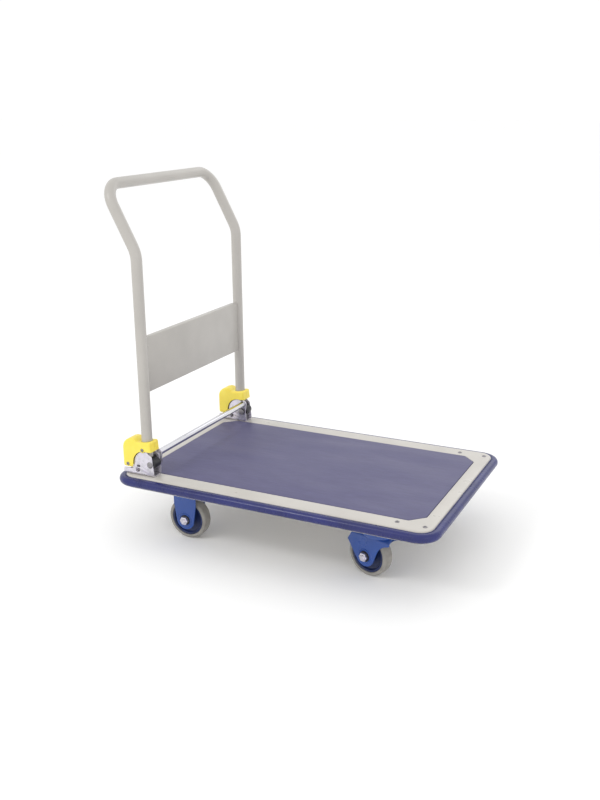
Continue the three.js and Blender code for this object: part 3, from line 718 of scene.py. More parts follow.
def bar_along(name, section, x_from, x_to, material):
    """A section drawn in y and z, run along the cart."""
    rings = [[(x, y, z) for y, z in section] for x in (x_from, x_to)]
    return new_piece(name, *loft(rings), material)


cut_edge = 0.01


def pressed_fork(name, section, x_from, x_to, leg):
    """A sheet bent over the wheel, trimmed to the outline of its legs and with its edges eased."""
    sheet = bar_along(name, section, x_from, x_to, caster_enamel)
    carve(sheet, "INTERSECT", side_plate("trim", [leg], fork_outer + 4, caster_enamel, cut_edge))
    return ease(sheet, fork_edge, segments=3, angle=50, sharp=40)


axle_boss = 17.5
axle_boss_rise = 1.3
boss_steps = 40
rigid_half = 30
rigid_taper = 88
rigid_bend = 7


def axle_bosses(name):
    """A raised ring pressed in each leg round the axle, with a dished floor for the nut."""
    bosses = []
    for side in (-1, 1):
        profile = [
            (0, 0.1), (axle_boss - 5.5, 0.1), (axle_boss - 4, 0.3), (axle_boss - 2.8, axle_boss_rise),
            (axle_boss - 1.2, axle_boss_rise), (axle_boss, 0.1), (axle_boss + 0.4, -0.5), (0, -0.5),
        ]
        centre = (0, side * fork_outer, wheel_radius)
        out = (0, side, 0)
        bosses.append(turned(f"{name}_{side}", profile, centre, out, caster_enamel, boss_steps, sharp=60))
    return bosses


def rigid_fork(side):
    low, high = box(f"rigid_fork_{side}")
    origin = ((low.x + high.x) / 2, (low.y + high.y) / 2, 0)
    line = fork_inner + fork_gauge / 2
    roof = plate_under - fork_gauge / 2
    path = [(-line, 0), (-line, roof), (line, roof), (line, 0)]
    section = bent_sheet(path, rigid_bend, fork_gauge, steps=6)
    leg = [(-rigid_half, plate_under + 1), (-rigid_half, rigid_taper)]
    leg += arc(0, wheel_radius, leg_end, 196, 344, 16)
    leg += [(rigid_half, rigid_taper), (rigid_half, plate_under + 1)]
    name = f"rigid_caster_{side}"
    legs = pressed_fork(name + "_legs", section, -rigid_half - 1, rigid_half + 1, leg)
    fork = join(name, legs, caster_plate(name + "_plate"), *axle_bosses(name))
    fasten(reseat(fork, 0, origin), "platform", "caster_enamel", f"rigid_fork_{side}")
    return origin


rigid_places = {side: rigid_fork(side) for side in sides}


# ------------------------------------------------------------------ swivel casters
# Under the front end: the top plate carries the upper ball race, and the fork hangs from it on a
# kingpin. The fork is pressed with sloping shoulders and flares forward into a guard over the tyre.

swivel_angle = -15
swivel_trail = 25
crown_base = 109
crown_top = 121
crown_radius = 40
crown_neck = 33
shoulder_z = 97
roof_half = 13
swivel_bend = 5
king_radius = 7
king_nut = 10
king_low, king_seat, king_high = 101.2, 105.7, 136
race_radius = 36
fork_back, fork_front = -52, 66
leg_back = [(-29, 112), (-48, 80), (-26, 40)]
guard_x, guard_z, guard_radius = 67, 53, 37.5
guard_lip = 65


def swivel_plate(side):
    origin = (*node_middle(f"kingpin_{side}").xy, 0)
    race = turned("race", [
        (0, crown_top + 0.3), (28, crown_top + 0.3), (race_radius - 2.5, crown_top + 1.6),
        (race_radius, crown_top + 4.5), (race_radius - 0.4, crown_top + 7), (race_radius - 3, crown_top + 10),
        (31, plate_under), (0, plate_under),
    ], (0, 0, 0), (0, 0, 1), caster_enamel, steps=56)
    head = join(f"swivel_head_{side}", caster_plate("head_plate"), race)
    fasten(reseat(head, 0, origin), "platform", "caster_enamel", f"swivel_plate_{side}")
    pin = turned(f"king_pin_{side}", [
        (0, king_low), (king_nut - 3.5, king_low), (king_nut - 1, king_low + 0.8), (king_nut, king_low + 2.3),
        (king_nut, king_seat), (king_radius, king_seat), (king_radius, king_high), (0, king_high),
    ], origin, (0, 0, 1), dull_zinc, steps=32)
    fasten(pin, "platform", "zinc_plate", f"kingpin_{side}")
    return origin


def swivel_leg():
    """A leg's outline: down the sloping back, round the axle, and out along the guard."""
    rise = crown_base + 2
    back = rounded(leg_back, 4, steps=5, closed=False)
    axle_end = arc(0, wheel_radius, leg_end, 205, 345, 16)
    guard = arc(guard_x, guard_z, guard_radius, 157, 100)
    front = [(guard_lip - 1, 92), (guard_lip, 104.5), (guard_lip - 3, rise)]
    return [(leg_back[0][0], rise), *back[1:-1], *axle_end, *guard, *front]


def swivel_fork(side, origin):
    line = fork_inner + fork_gauge / 2
    roof = crown_base - fork_gauge / 2
    path = [
        (-line, 0), (-line, shoulder_z), (-roof_half, roof), (roof_half, roof), (line, shoulder_z), (line, 0),
    ]
    section = bent_sheet(path, swivel_bend, fork_gauge, steps=5)
    name = f"swivel_caster_{side}"
    legs = pressed_fork(name + "_legs", section, fork_back, fork_front, swivel_leg())
    bore = king_radius + 1
    crown = turned(name + "_crown", [
        (bore, crown_base - 2.9), (30, crown_base - 2.9), (crown_radius - 1, crown_base - 2.2),
        (crown_radius, crown_base), (crown_radius, crown_base + 5), (crown_radius - 1.5, crown_base + 8),
        (crown_neck, crown_top), (bore, crown_top),
    ], (swivel_trail, 0, 0), (0, 0, 1), caster_enamel, steps=56)
    fork = join(name, legs, crown, *axle_bosses(name))
    fork.data.transform(Matrix.Translation((-swivel_trail * mm, 0, 0)))
    fasten(reseat(fork, swivel_angle, origin), f"swivel_{side}", "caster_enamel", f"swivel_fork_{side}")


swivel_places = {side: swivel_plate(side) for side in sides}
for side, place in swivel_places.items():
    swivel_fork(side, place)


# ------------------------------------------------------------------ caster bolts
# Zinc-plated hex bolts, four through each caster plate into weld nuts in the channel.

def bolt_tree():
    """Hex heads on washers, on points; each head stands away from its seat the given way."""
    inputs = {"Head radius": "Float", "Head height": "Float", "Washer radius": "Float",
              "Washer height": "Float", "Facing": "Vector", "Material": "Material"}
    tree, given, result = new_tree("hex bolts", inputs)
    joined = add(tree, "GeometryNodeJoinGeometry")

    def disc(sides_round, part, base=None):
        height = given.outputs[part + " height"]
        body = add(
            tree, "GeometryNodeMeshCylinder", {"Vertices": sides_round},
            Radius=given.outputs[part + " radius"], Depth=height,
        )
        middle = add(tree, "ShaderNodeMath", {"operation": "MULTIPLY_ADD", 1: 0.5, 2: 0.0})
        tree.links.new(height, middle.inputs[0])
        if base:
            tree.links.new(base, middle.inputs[2])
        lift = add(
            tree, "GeometryNodeTransform", Geometry=body.outputs["Mesh"],
            Translation=sized(tree, 0, 0, middle.outputs[0]),
        )
        tree.links.new(lift.outputs["Geometry"], joined.inputs["Geometry"])

    disc(6, "Head", given.outputs["Washer height"])
    disc(32, "Washer")
    instance_everywhere(tree, given, result, joined.outputs["Geometry"])
    return tree


bolts = bolt_tree()
bolt_inset = 12
bolt_edge = 0.35
bolt_x, bolt_y = plate_half_x - bolt_inset, plate_half_y - bolt_inset
bolt_spots = [(x, y, plate_under) for x in (-bolt_x, bolt_x) for y in (-bolt_y, bolt_y)]
caster_spots = []
for place in [*rigid_places.values(), *swivel_places.values()]:
    caster_spots += in_plan(bolt_spots, 0, place)
caster_bolts = spread(
    "caster_bolts", bolts, caster_spots, zinc,
    Head_radius=6.6, Head_height=4.6, Washer_radius=8.2, Washer_height=1.5, Facing=(0, 0, -1),
)
fasten(ease(caster_bolts, bolt_edge, angle=50), "platform", "zinc_plate")


# ------------------------------------------------------------------ wheels
# Moulded nylon hubs with a dished web, and a grey rubber tyre bonded round each. The hub turns on
# a steel sleeve that the axle bolt clamps between the fork's legs.

tyre_half = 14
tyre_depth = 8.5
tyre_grey = (0.300, 0.285, 0.262)
hub_navy = (0.009, 0.020, 0.086)


rubber = surface(
    "grey rubber", tyre_grey, 0.62, tones={0.3: 0.84, 0.52: 1.0, 0.75: 1.12}, mottle=dict(size=16, detail=7),
    gloss=dict(low=0.54, high=0.74, size=7),
    bumps=[dict(depth=0.05, size=1.8, detail=6), dict(depth=0.02, size=0.4)], Specular_IOR_Level=0.35,
)
nylon = surface(
    "navy nylon", hub_navy, 0.36, tones={0.3: 0.75, 0.7: 1.35}, mottle=dict(size=12, detail=5),
    gloss=dict(low=0.28, high=0.46, size=9), bumps=[dict(depth=0.02, size=1.2), dict(depth=0.05, size=5)],
    Specular_IOR_Level=0.5,
)


def both_halves(side_profile):
    """A closed profile from the half beyond the middle, drawn from the bore out to the rim."""
    return [(radius, -far) for radius, far in side_profile] + side_profile[::-1]


rim_radius = wheel_radius - tyre_depth
bead_width, bead_slope = 1.2, 0.8
tread_round = 5
tyre_side = [
    (rim_radius, tyre_half - bead_slope), (rim_radius + bead_width, tyre_half), (wheel_radius, tyre_half),
]
tyre_bends = [0.3, bead_width, tread_round]
tyre_profile = rounded(both_halves(tyre_side), tyre_bends + tyre_bends[::-1], steps=5)
sleeve_half = 19.7
sleeve_radius = 8.4
hub_half = sleeve_half - 0.1
hub_boss = 13.6
web_half = 5.4
hub_rim = 12.6
hub_side = [
    (sleeve_radius + 0.5, hub_half), (hub_boss - 1, hub_half), (hub_boss, hub_half - 1), (hub_boss + 1, 8.5),
    (16.5, web_half + 0.8), (31, web_half), (34.4, web_half + 1.2), (36.6, hub_rim - 1), (37.6, hub_rim),
    (rim_radius - 1.3, hub_rim), (rim_radius - 0.3, hub_rim - 0.8),
]
hub_profile = rounded(both_halves(hub_side), [0.4] + [1.0] * (2 * len(hub_side) - 2) + [0.4], steps=2)
washer_radius = 12.6
washer_thickness = 1.3
nut_radius = 10.4
nut_height = 6.7
nut_chamfer = 1.2
bolt_head = 7.2
bolt_radius = 6
bolt_proud = 3


def hex_prism(name, face, thickness, centre, axis):
    """A six-sided nut or head with its outer corners turned off, and its face on the seat."""
    turns = [math.pi / 3 * k for k in range(6)]
    outline = [(nut_radius * math.cos(turn), nut_radius * math.sin(turn)) for turn in turns]
    axis, up = Vector(axis), Vector((0, 0, 1))
    along = up.cross(axis)
    block = plate(name, [outline], Vector(centre) + axis * face, along, up, thickness, zinc, 0.3)
    far = face + thickness
    cone = turned("chamfer", [
        (0, face - 1), (nut_radius + 1, face - 1), (nut_radius + 1, far - nut_chamfer),
        (nut_radius - 1.4, far + 0.05), (0, far + 0.05),
    ], centre, axis, zinc, steps=40)
    return carve(block, "INTERSECT", cone)


def wheel_set(corner, outward, origin, angle, fork_body, x):
    """Tyre, hub, sleeve, bolt and nut about one axle; the nut is on the outward side."""
    wheel_body = f"wheel_{corner}"
    centre, axis = (x, 0, wheel_radius), (0, 1, 0)
    out, inward = (0, outward, 0), (0, -outward, 0)

    def fit(piece, body, finish_slot, *nodes):
        fasten(reseat(piece, angle, origin), body, finish_slot, *nodes)

    tyre = turned(f"tyre_{corner}", tyre_profile, centre, axis, rubber, steps=96, sharp=30)
    fit(tyre, wheel_body, "tyre_rubber", f"wheel_tyre_{corner}")
    hub = turned(f"hub_{corner}", hub_profile, centre, axis, nylon, steps=72, sharp=40)
    fit(hub, wheel_body, "hub_plastic", f"wheel_hub_{corner}")
    bore = bolt_radius + 0.3
    wall = both_halves([(bore, sleeve_half), (sleeve_radius, sleeve_half)])
    sleeve = turned(f"sleeve_{corner}", wall, centre, axis, dull_zinc, steps=32)
    fit(sleeve, fork_body, "zinc_plate", f"axle_sleeve_{corner}")
    seat = fork_outer + washer_thickness
    ring = [
        (bolt_radius, fork_outer + 0.1), (washer_radius - 0.5, fork_outer + 0.1),
        (washer_radius, fork_outer + 0.6), (washer_radius - 0.5, seat), (bolt_radius, seat),
    ]
    # The washer is nearly black as painted shade: it stands for the shaded ring round the nut.
    washer = turned(f"washer_{corner}", ring, centre, out, dark_steel_and_shade, steps=36)
    fit(washer, fork_body, "spring_steel")
    nut = hex_prism(f"nut_{corner}", seat, nut_height, centre, out)
    fit(nut, fork_body, "zinc_plate", f"axle_nut_{corner}")
    tip = seat + nut_height + bolt_proud
    shank = turned("shank", [
        (0, -fork_outer - 1), (bolt_radius, -fork_outer - 1), (bolt_radius, tip - 1.6),
        (bolt_radius - 1.3, tip), (0, tip),
    ], centre, out, zinc, steps=32)
    bolt = join(f"axle_{corner}", shank, hex_prism("head", fork_outer + 0.3, bolt_head, centre, inward))
    fit(bolt, fork_body, "zinc_plate", f"axle_bolt_{corner}")


# Nearly black steel for the axle washers, the forged feet and the springs. Its darkness is partly painted
# shade: the washers paint the shaded ring round each axle nut, and the feet paint the shade seen through the
# brackets' latch windows.
dark_steel_and_shade = zinc_finish("oiled steel and painted shade", (0.055, 0.055, 0.06), 0.4)
for side, sign in sides.items():
    wheel_set(f"rear_{side}", sign, rigid_places[side], 0, "platform", 0)
    wheel_set(f"front_{side}", sign, swivel_places[side], swivel_angle, f"swivel_{side}", -swivel_trail)


# ------------------------------------------------------------------ hinge brackets
# Bright zinc brackets bolted to the rear corners: a U of 2.5 mm sheet whose sides rise to a dome
# round the hinge pin and slope down to a nose, with a window that shows the latch.

hinge_post = {side: node_middle(f"handle_foot_{side}").y for side in sides}
bracket_rear, bracket_front = -59, 25
post_x = box("hinge_bracket_right")[0].x - bracket_rear
bracket_inner = 13.5
bracket_sheet = 2.5
bracket_outer = bracket_inner + bracket_sheet
bracket_base = 0.3
bracket_foot = -2
bracket_rise = 90
bracket_bend = 3
bracket_edge = 0.45
pin_x, pin_z = 15.3, 29.7
dome_x, dome_z, dome_radius = 2, 29.5, 31
nose_x, nose_z = 20.7, 48
strip_z, strip_end = 14.5, -33
latch_window = (-20.5, 13.2, 11.5, 10.5, 1.5)
upper_window = (-17.5, 23.2, 9.5, 5, 1)
cutter_half = 24


def set_hinge(piece, side):
    """Puts a piece drawn about the post's axis and the top of the deck in its place."""
    piece.data.transform(Matrix.Translation(Vector((post_x, hinge_post[side], deck_top)) * mm))
    return piece


def bracket_outline(extra=0):
    """The bracket's side, grown by extra round its dome and nose."""
    dome = arc(dome_x, dome_z, dome_radius + extra, 186, 79, 22)
    front = bracket_front + extra
    outline = [
        (bracket_rear, bracket_foot), (bracket_rear, strip_z), (strip_end - extra, strip_z), *dome,
        (nose_x + extra, nose_z + extra), (front, strip_z), (front, bracket_foot),
    ]
    return rounded(outline, [0, 2, 5] + [0] * 22 + [3, 4, 2, 0], 4)


def slot_outline(x, z, width, height, lean):
    """A leaning window with round corners."""
    left, right = x - width / 2, x + width / 2
    low, high = z - height / 2, z + height / 2
    return rounded([(left, low), (right, low), (right + lean, high), (left + lean, high)],
                   min(width, height) / 2.2, 4)


def hinge_bracket(side):
    line = bracket_inner + bracket_sheet / 2
    low = bracket_base + bracket_sheet / 2
    path = [(-line, bracket_rise), (-line, low), (line, low), (line, bracket_rise)]
    section = bent_sheet(path, bracket_bend, bracket_sheet, steps=5)
    folded = bar_along(f"bracket_{side}", section, bracket_rear - 1, bracket_front + 1, zinc)
    carve(folded, "INTERSECT", side_plate("trim", [bracket_outline()], cutter_half, zinc, cut_edge))
    windows = [
        side_plate("window", [slot_outline(*window)], cutter_half, zinc, cut_edge)
        for window in (latch_window, upper_window)
    ]
    carve(folded, "DIFFERENCE", *windows)
    ease(folded, bracket_edge, angle=50)
    fasten(set_hinge(folded, side), "platform", "zinc_plate", f"hinge_bracket_{side}")


for side in sides:
    hinge_bracket(side)
bracket_bolts = [f"bracket_bolt_{side}_{number}" for side in sides for number in (1, 2)]
bracket_seat = deck_top + bracket_base + bracket_sheet
bracket_points = [(*node_middle(node).xy, bracket_seat) for node in bracket_bolts]
deck_bolts = spread(
    "bracket_bolts", bolts, bracket_points, dull_zinc,
    Head_radius=6.8, Head_height=3.2, Washer_radius=8.5, Washer_height=1.2, Facing=(0, 0, 1),
)
fasten(ease(deck_bolts, bolt_edge, angle=50), "platform", "zinc_plate", *bracket_bolts)


# ------------------------------------------------------------------ hinge pins
# A shouldered steel pin through each bracket. The handle, the foot bar's lever and its spring all
# turn on it; the outer end is riveted over a dark washer.

lever_inner = bracket_outer + 0.3
lever_thickness = 3
lever_outer = lever_inner + lever_thickness
spring_end = lever_outer + 3.7
pin_radius = 5
pin_head = 8
pin_collar = 7.7
rivet_rise = 3.1


def hinge_pin(side, outward):
    seat = bracket_outer + 0.1
    pin = turned(f"hinge_pin_{side}_turned", [
        (0, -spring_end - 3.2), (pin_head - 2, -spring_end - 3.2), (pin_head - 0.4, -spring_end - 2.6),
        (pin_head, -spring_end - 1.6), (pin_head - 0.4, -spring_end - 0.3), (pin_radius, -spring_end - 0.3),
        (pin_radius, seat), (pin_collar, seat), (pin_collar, seat + 0.8), (6.3, seat + 2.1),
        (4.2, seat + 2.9), (2.2, bracket_outer + rivet_rise), (1.6, seat + 2.3), (0, seat + 2.1),
    ], (pin_x, 0, pin_z), (0, outward, 0), dull_zinc, steps=40, sharp=30)
    fasten(set_hinge(pin, side), "platform", "zinc_plate", f"hinge_pin_{side}")


for side, sign in sides.items():
    hinge_pin(side, sign)


# ------------------------------------------------------------------ handle feet
# Forged feet pressed into the ends of the tube. Each turns on its pin, and the quadrant behind it
# carries the notch that the latch drops into when the handle stands up.

tube_radius = 12.7
tube_foot = 46
foot_half = bracket_inner - 0.6
foot_knuckle = 12
quadrant_radius = 68
quadrant_half = 4
spigot_radius, spigot_length = 9.6, 40


def handle_foot(side):
    base = pin_z - foot_knuckle
    knuckle = arc(pin_x, pin_z, foot_knuckle, -90, 45, 14)
    block = [(-tube_radius, tube_foot), (-tube_radius, base), *knuckle, (tube_radius, tube_foot)]
    quadrant = arc(pin_x, pin_z, quadrant_radius, 133, 188, 18)
    quadrant += [(0, base), (0, tube_foot), (-tube_radius, tube_foot + foot_knuckle)]
    # The foot is nearly black partly as forged steel and partly as painted shade, so that the bracket's latch
    # window reads dark.
    body = side_plate("block", [block], foot_half, dark_steel_and_shade, 0.9)
    web = side_plate("quadrant", [quadrant], quadrant_half, dark_steel_and_shade, 0.6)
    root, top = tube_foot - 1, tube_foot + spigot_length
    spigot = turned("spigot", [(0, root), (spigot_radius, root), (spigot_radius, top), (0, top)],
                    (0, 0, 0), (0, 0, 1), dark_steel_and_shade, steps=32)
    foot = join(f"forged_foot_{side}", body, web, spigot)
    fasten(set_hinge(foot, side), "handle", "zinc_plate", f"handle_foot_{side}")


for side in sides:
    handle_foot(side)


# ------------------------------------------------------------------ hinge covers
# Yellow polypropylene finger guards moulded in two halves that meet in a seam. They hug the post,
# clear the bracket's dome below, and turn with the handle.

cover_inner = bracket_outer + 0.3
cover_outer = cover_inner + 2.5
cover_wall = 2.4
cover_edge = 4.2
cover_back, cover_front = -58, 21
cover_low, cover_shoulder = 18, 62
dome_gap = 1.4
sweep_radius = 32.3
opening_front, opening_rise = 26, 30
seam_half = 0.35
cover_top, cover_tip = 89.5, 85.5
notch_x, notch_z = -17, 82
lobe_x = -28
cover_yellow = (0.90, 0.72, 0.085)


yellow = surface(
    "yellow polypropylene", cover_yellow, 0.36, tones={0.28: 0.95, 0.5: 1.0, 0.72: (0.93, 0.77, 0.12)},
    mottle=dict(size=30, detail=5), gloss=dict(low=0.3, high=0.46, size=12),
    bumps=[dict(depth=0.05, size=6), dict(depth=0.012, size=0.8)], Subsurface_Weight=0.12,
    Subsurface_Scale=0.004, Subsurface_Radius=(1.0, 0.6, 0.15), Coat_Weight=0.1, Coat_Roughness=0.3,
)


def cover_outline(inset, low):
    """The guard's side: a fat lobe behind the post, and a straight front close before it."""
    back, top, front = cover_back + inset, cover_top - inset, cover_front - inset
    outline = [
        (back, low), (front, low), (front, cover_shoulder), (front - 2.5, cover_tip - inset),
        (notch_x, notch_z - inset), (lobe_x, top), (back, top),
    ]
    return rounded(outline, [5.2, 5.2, 0, 4.5, 9, 12, 25], 7)


def hinge_cover(side):
    """The shell, less its room, the bracket's dome and sweep, an open front, the post and a seam."""
    outside = cover_outline(0, cover_low)
    shell = side_plate(f"cover_{side}", [outside], cover_outer, yellow, cover_edge, sharp=40)
    high = pin_z + opening_rise
    front = [(pin_x, bracket_foot), (opening_front, bracket_foot), (opening_front, high), (pin_x, high)]
    seam = [cover_outline(-1, cover_low - 6), cover_outline(0.45, cover_low - 3)]
    right_through = cover_outer + 2
    cuts = [
        ([cover_outline(cover_wall, cover_low - 30)], cover_inner),
        ([bracket_outline(dome_gap)], right_through),
        ([arc(pin_x, pin_z, sweep_radius, 0, 354, 59)], right_through),
        ([front], right_through),
        (seam, seam_half),
    ]
    cutters = [side_plate("cutter", outlines, half, yellow, cut_edge) for outlines, half in cuts]
    hole = tube_radius + 0.7
    post = turned("post", [(0, 40), (hole, 40), (hole, 140), (0, 140)], (0, 0, 0), (0, 0, 1), yellow)
    cutters.insert(4, post)
    carve(shell, "DIFFERENCE", *cutters, sharp=40)
    fasten(set_hinge(shell, side), "handle", "cover_plastic", f"hinge_cover_{side}")


for side in sides:
    hinge_cover(side)


# ------------------------------------------------------------------ cover screws
# Pan-head screws that clamp the two halves of each guard to the foot, sunk in moulded dishes.

screw_radius = 4.1
screw_rise = 1.9
screw_recess = 1.1
screw_seat = 0.15
dish_radius = 6.2
dish_rise = 0.75
cover_spots = {"high": (-2.3, 65), "low": (-44.6, 26)}
for side, sign in sides.items():
    screw_points = []
    for height, (x, z) in cover_spots.items():
        screw_points.append((post_x + x, hinge_post[side] + sign * (cover_outer + screw_seat), deck_top + z))
        dish = turned(f"screw_dish_{side}_{height}", [
            (screw_radius + 0.2, -0.4), (dish_radius + 0.5, -0.4), (dish_radius, 0.1),
            (dish_radius - 0.7, dish_rise), (screw_radius + 1, dish_rise), (screw_radius + 0.2, 0.2),
        ], (x, sign * cover_outer, z), (0, sign, 0), yellow, steps=36)
        fasten(set_hinge(dish, side), "handle", "cover_plastic")
    heads = spread(
        f"cover_screws_{side}", screws, screw_points, dull_zinc,
        Radius=screw_radius, Height=screw_rise, Recess=screw_recess, Facing=(0, sign, 0),
    )
    nodes = [f"cover_screw_{side}_{height}" for height in cover_spots]
    fasten(heads, "handle", "zinc_plate", *nodes)


# ------------------------------------------------------------------ foot bar
# A plated steel bar across the cart that the foot presses forward and down. Its levers turn on the
# hinge pins inside the brackets, and a coil spring on each pin holds it up.

bar_x, bar_z, bar_radius, bar_wall = 20, 52, 7.5, 1.5
bar_lip = 0.4
lever_head, lever_eye = 8, 10
coil_radius, coil_wire, coil_length, coil_turns = 8.1, 0.55, 2.4, 2.2
coil_gap = 0.8


def coil_tree():
    """A closely wound spring about its own axis, as a swept wire."""
    inputs = {"Turns": "Float", "Coil radius": "Float", "Length": "Float", "Wire": "Float",
              "Facing": "Vector", "Material": "Material"}
    tree, given, result = new_tree("latch springs", inputs)
    helix = add(tree, "GeometryNodeCurveSpiral", {"Resolution": 40})
    labels = {"Rotations": "Turns", "Start Radius": "Coil radius", "End Radius": "Coil radius",
              "Height": "Length"}
    for socket, label in labels.items():
        tree.links.new(given.outputs[label], helix.inputs[socket])
    wire = add(tree, "GeometryNodeCurvePrimitiveCircle", {"Resolution": 10})
    tree.links.new(given.outputs["Wire"], wire.inputs["Radius"])
    swept = add(
        tree, "GeometryNodeCurveToMesh", {"Fill Caps": True}, Curve=helix.outputs["Curve"],
        **{"Profile Curve": wire.outputs["Curve"]},
    )
    instance_everywhere(tree, given, result, swept.outputs["Mesh"])
    return tree


plated = surface(
    "polished plating", (0.74, 0.74, 0.77), 0.16, tones={0.3: (0.62, 0.62, 0.66), 0.7: (0.80, 0.80, 0.83)},
    mottle=dict(size=20, stretch=(1, 8, 1), detail=5),
    gloss=dict(low=0.12, high=0.26, size=6, stretch=(1, 6, 1)),
    bumps=[dict(depth=0.004, size=0.8, stretch=(1, 12, 1))], metallic=1.0,
)
coils = coil_tree()
bar_half = box("release_bar")[1].y
bar_side = [
    (bar_radius - bar_wall, bar_half), (bar_radius - bar_lip, bar_half),
    (bar_radius, bar_half - 1.5 * bar_lip),
]
bar_place = (post_x + bar_x, 0, deck_top + bar_z)
bar = turned("foot_bar", both_halves(bar_side), bar_place, (0, 1, 0), plated, steps=40)
fasten(bar, "release", "bright_steel", "release_bar")
lean = math.degrees(math.atan2(bar_z - pin_z, bar_x - pin_x))
link = arc(bar_x, bar_z, lever_head, lean - 90, lean + 90, 14)
link += arc(pin_x, pin_z, lever_eye, lean + 90, lean + 270, 18)
hole = arc(pin_x, pin_z, pin_radius + 0.3, 0, 345, 23)
for side, sign in sides.items():
    far = lever_outer if sign < 0 else -lever_inner
    lever = plate(f"lever_{side}", [link, hole], (0, far, 0), (1, 0, 0), (0, 0, 1), lever_thickness, zinc)
    fasten(set_hinge(lever, side), "release", "zinc_plate", f"release_lever_{side}")
    start = hinge_post[side] - sign * (lever_outer + coil_gap)
    coil = spread(
        f"spring_{side}", coils, [(post_x + pin_x, start, deck_top + pin_z)], dark_steel_and_shade,
        Turns=coil_turns / mm, Coil_radius=coil_radius, Length=coil_length, Wire=coil_wire,
        Facing=(0, -sign, 0),
    )
    fasten(coil, "release", "spring_steel", f"latch_spring_{side}")


# ------------------------------------------------------------------ handle tube
# One length of 25.4 mm steel tube with four bends: two cranks that lean the grip back and two
# corners into it. It is powder coated grey-beige, the grip included.

tube_wall = 1.6
crank_rise, grip_rise, grip_back = 519, 664, 76
crank_bend, grip_bend = 70, 50
powder_grey = (0.445, 0.425, 0.395)


def bent_line(corners, radii, steps):
    """A line through corners in space with an arc at each inner corner."""
    line = [Vector(corners[0])]
    for before, corner, after, radius in zip(corners, corners[1:], corners[2:], radii):
        corner = Vector(corner)
        back, ahead = (Vector(before) - corner).normalized(), (Vector(after) - corner).normalized()
        turn = math.pi - back.angle(ahead)
        centre = corner + (back + ahead).normalized() * (radius / math.cos(turn / 2))
        spoke = corner + back * radius * math.tan(turn / 2) - centre
        axis = back.cross(ahead)
        for step in range(steps + 1):
            line.append(centre + Matrix.Rotation(-turn * step / steps, 3, axis) @ spoke)
    line.append(Vector(corners[-1]))
    return line


def tube_along(line, radius, wall, sides_round):
    """Rings of a tube with a wall, out along the line and back inside it."""
    side = Vector((0, 1, 0)) if abs((line[1] - line[0]).normalized().y) < 0.9 else Vector((1, 0, 0))
    outer, inner = [], []
    for i, point in enumerate(line):
        ahead = line[min(i + 1, len(line) - 1)] - line[max(i - 1, 0)]
        ahead.normalize()
        side = (side - ahead * side.dot(ahead)).normalized()
        other = ahead.cross(side)
        turns = [2 * math.pi * k / sides_round for k in range(sides_round)]
        spokes = [side * math.cos(turn) + other * math.sin(turn) for turn in turns]
        outer.append([point + spoke * radius for spoke in spokes])
        inner.append([point + spoke * (radius - wall) for spoke in spokes])
    return outer + inner[::-1]


post_y = abs(hinge_post["left"])
tube_corners = [
    (post_x + x, y, deck_top + z) for x, y, z in (
        (0, -post_y, tube_foot), (0, -post_y, crank_rise), (-grip_back, -post_y, grip_rise),
        (-grip_back, post_y, grip_rise), (0, post_y, crank_rise), (0, post_y, tube_foot),
    )
]
powder = enamel("grey powder coat", powder_grey, 0.045, 0.36)
tube_line = bent_line(tube_corners, [crank_bend, grip_bend, grip_bend, crank_bend], steps=14)
tube_rings = tube_along(tube_line, tube_radius, tube_wall, sides_round=36)
tube = new_piece("bent_tube", *loft(tube_rings, closed=True), powder, sharp=40)
fasten(tube, "handle", "handle_enamel", "handle_tube")


# ------------------------------------------------------------------ cross panel
# Sheet steel between the posts, its top and bottom edges folded back into lips that stop short of
# the posts. Spot welds hold it, and it is coated together with the tube.

panel_low, panel_high = box("handle_panel")
panel_sheet = 1.5
panel_bend = 2.2
panel_edge = 0.35
lip_notch = 7
notch_reach = 9
notch_front = 2.6
weld_rows = (0.16, 0.39, 0.62, 0.84)
weld_inset = 5
weld_radius, weld_rise = 2.6, 0.55


def cross_panel():
    """The folded sheet, with its lips cut short at each end."""
    face, back = panel_high.x - panel_sheet / 2, panel_low.x
    top, bottom = panel_high.z - panel_sheet / 2, panel_low.z + panel_sheet / 2
    path = [(back, bottom), (face, bottom), (face, top), (back, top)]
    section = bent_sheet(path, panel_bend, panel_sheet, steps=5)
    panel = bar_across("folded_panel", section, panel_low.y, panel_high.y, powder)
    behind, before = back - 2, panel_high.x - notch_front
    notches = []
    for end in (panel_low.y, panel_high.y):
        for edge in (panel_low.z, panel_high.z):
            low, high = edge - notch_reach, edge + notch_reach
            corner = [(behind, low), (before, low), (before, high), (behind, high)]
            notches.append(plate("notch", [corner], (0, end + lip_notch, 0), (1, 0, 0), (0, 0, 1),
                                 2 * lip_notch, powder, cut_edge))
    carve(panel, "DIFFERENCE", *notches)
    return ease(panel, panel_edge, angle=50)


def weld_tree():
    """Low round dimples left by spot welding, on points."""
    inputs = {"Radius": "Float", "Height": "Float", "Facing": "Vector", "Material": "Material"}
    tree, given, result = new_tree("spot welds", inputs)
    ball = add(tree, "GeometryNodeMeshUVSphere", {"Segments": 20, "Rings": 10, "Radius": 1.0})
    scale = sized(tree, given.outputs["Radius"], given.outputs["Radius"], given.outputs["Height"])
    dome = add(tree, "GeometryNodeTransform", Geometry=ball.outputs["Mesh"], Scale=scale)
    instance_everywhere(tree, given, result, dome.outputs["Geometry"])
    return tree


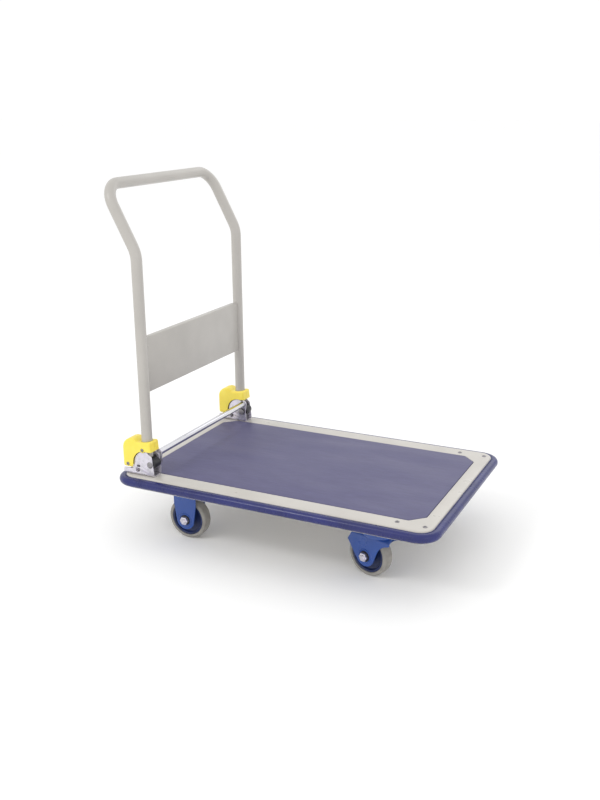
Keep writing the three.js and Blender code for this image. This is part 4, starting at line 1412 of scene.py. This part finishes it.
fasten(cross_panel(), "handle", "handle_enamel", "handle_panel")
weld_spots = []
for end, inward in ((panel_low.y, 1), (panel_high.y, -1)):
    for share in weld_rows:
        z = panel_low.z + share * (panel_high.z - panel_low.z)
        weld_spots.append((panel_high.x, end + inward * weld_inset, z))
welds = spread(
    "spot_welds", weld_tree(), weld_spots, powder, Radius=weld_radius, Height=weld_rise, Facing=(1, 0, 0),
)
fasten(welds, "handle", "handle_enamel")


# ------------------------------------------------------------------ studio
# A pale floor in a white room, under a small key above the handle end, a weak broad fill from the
# front end and a broad soft light from the left side.

floor_half = 40
floor_mesh = bpy.data.meshes.new("floor")
floor_corners = [(x * floor_half, y * floor_half, 0) for x, y in ((-1, -1), (1, -1), (1, 1), (-1, 1))]
floor_mesh.from_pydata(floor_corners, [], [(0, 1, 2, 3)])
studio_floor = bpy.data.objects.new("floor", floor_mesh)
scene.collection.objects.link(studio_floor)
floor_mesh.materials.append(finish("pale floor", (0.96, 0.96, 0.955), 0.9, Specular_IOR_Level=0.1))


def soft_light(name, place, target, size, power):
    data = bpy.data.lights.new(name, "AREA")
    data.shape = "DISK"
    data.size = size
    data.energy = power
    light = bpy.data.objects.new(name, data)
    light.location = place
    light.rotation_mode = "QUATERNION"
    light.rotation_quaternion = (Vector(target) - Vector(place)).to_track_quat("-Z", "Y")
    scene.collection.objects.link(light)


soft_light("key", (-1.6, -2.6, 3.0), (0, 0, 0.3), 1.0, 26)
soft_light("fill", (3.0, -1.4, 1.6), (0, 0, 0.3), 2.5, 7)
soft_light("back", (0.4, 3.2, 2.4), (0, 0, 0.4), 2.5, 9)

room = bpy.data.worlds.new("white room")
room.use_nodes = True
background = room.node_tree.nodes["Background"]
background.inputs["Color"].default_value = (1.0, 1.0, 1.0, 1.0)
background.inputs["Strength"].default_value = 1.05
scene.world = room
scene.view_settings.view_transform = "Standard"

lens = bpy.data.cameras.new("camera")
lens.lens = 42.77
lens.sensor_width = 36
lens.clip_start = 0.05
lens.clip_end = 200
camera = bpy.data.objects.new("camera", lens)
camera_place = (0.92045, -1.9327, 1.0101)
camera_axes = ((0.89926, 0.43738, -0.00697), (-0.12706, 0.27641, 0.95261), (0.41858, -0.85575, 0.30414))
camera.matrix_world = Matrix.Translation(camera_place) @ Matrix(camera_axes).transposed().to_4x4()
scene.collection.objects.link(camera)
scene.camera = camera
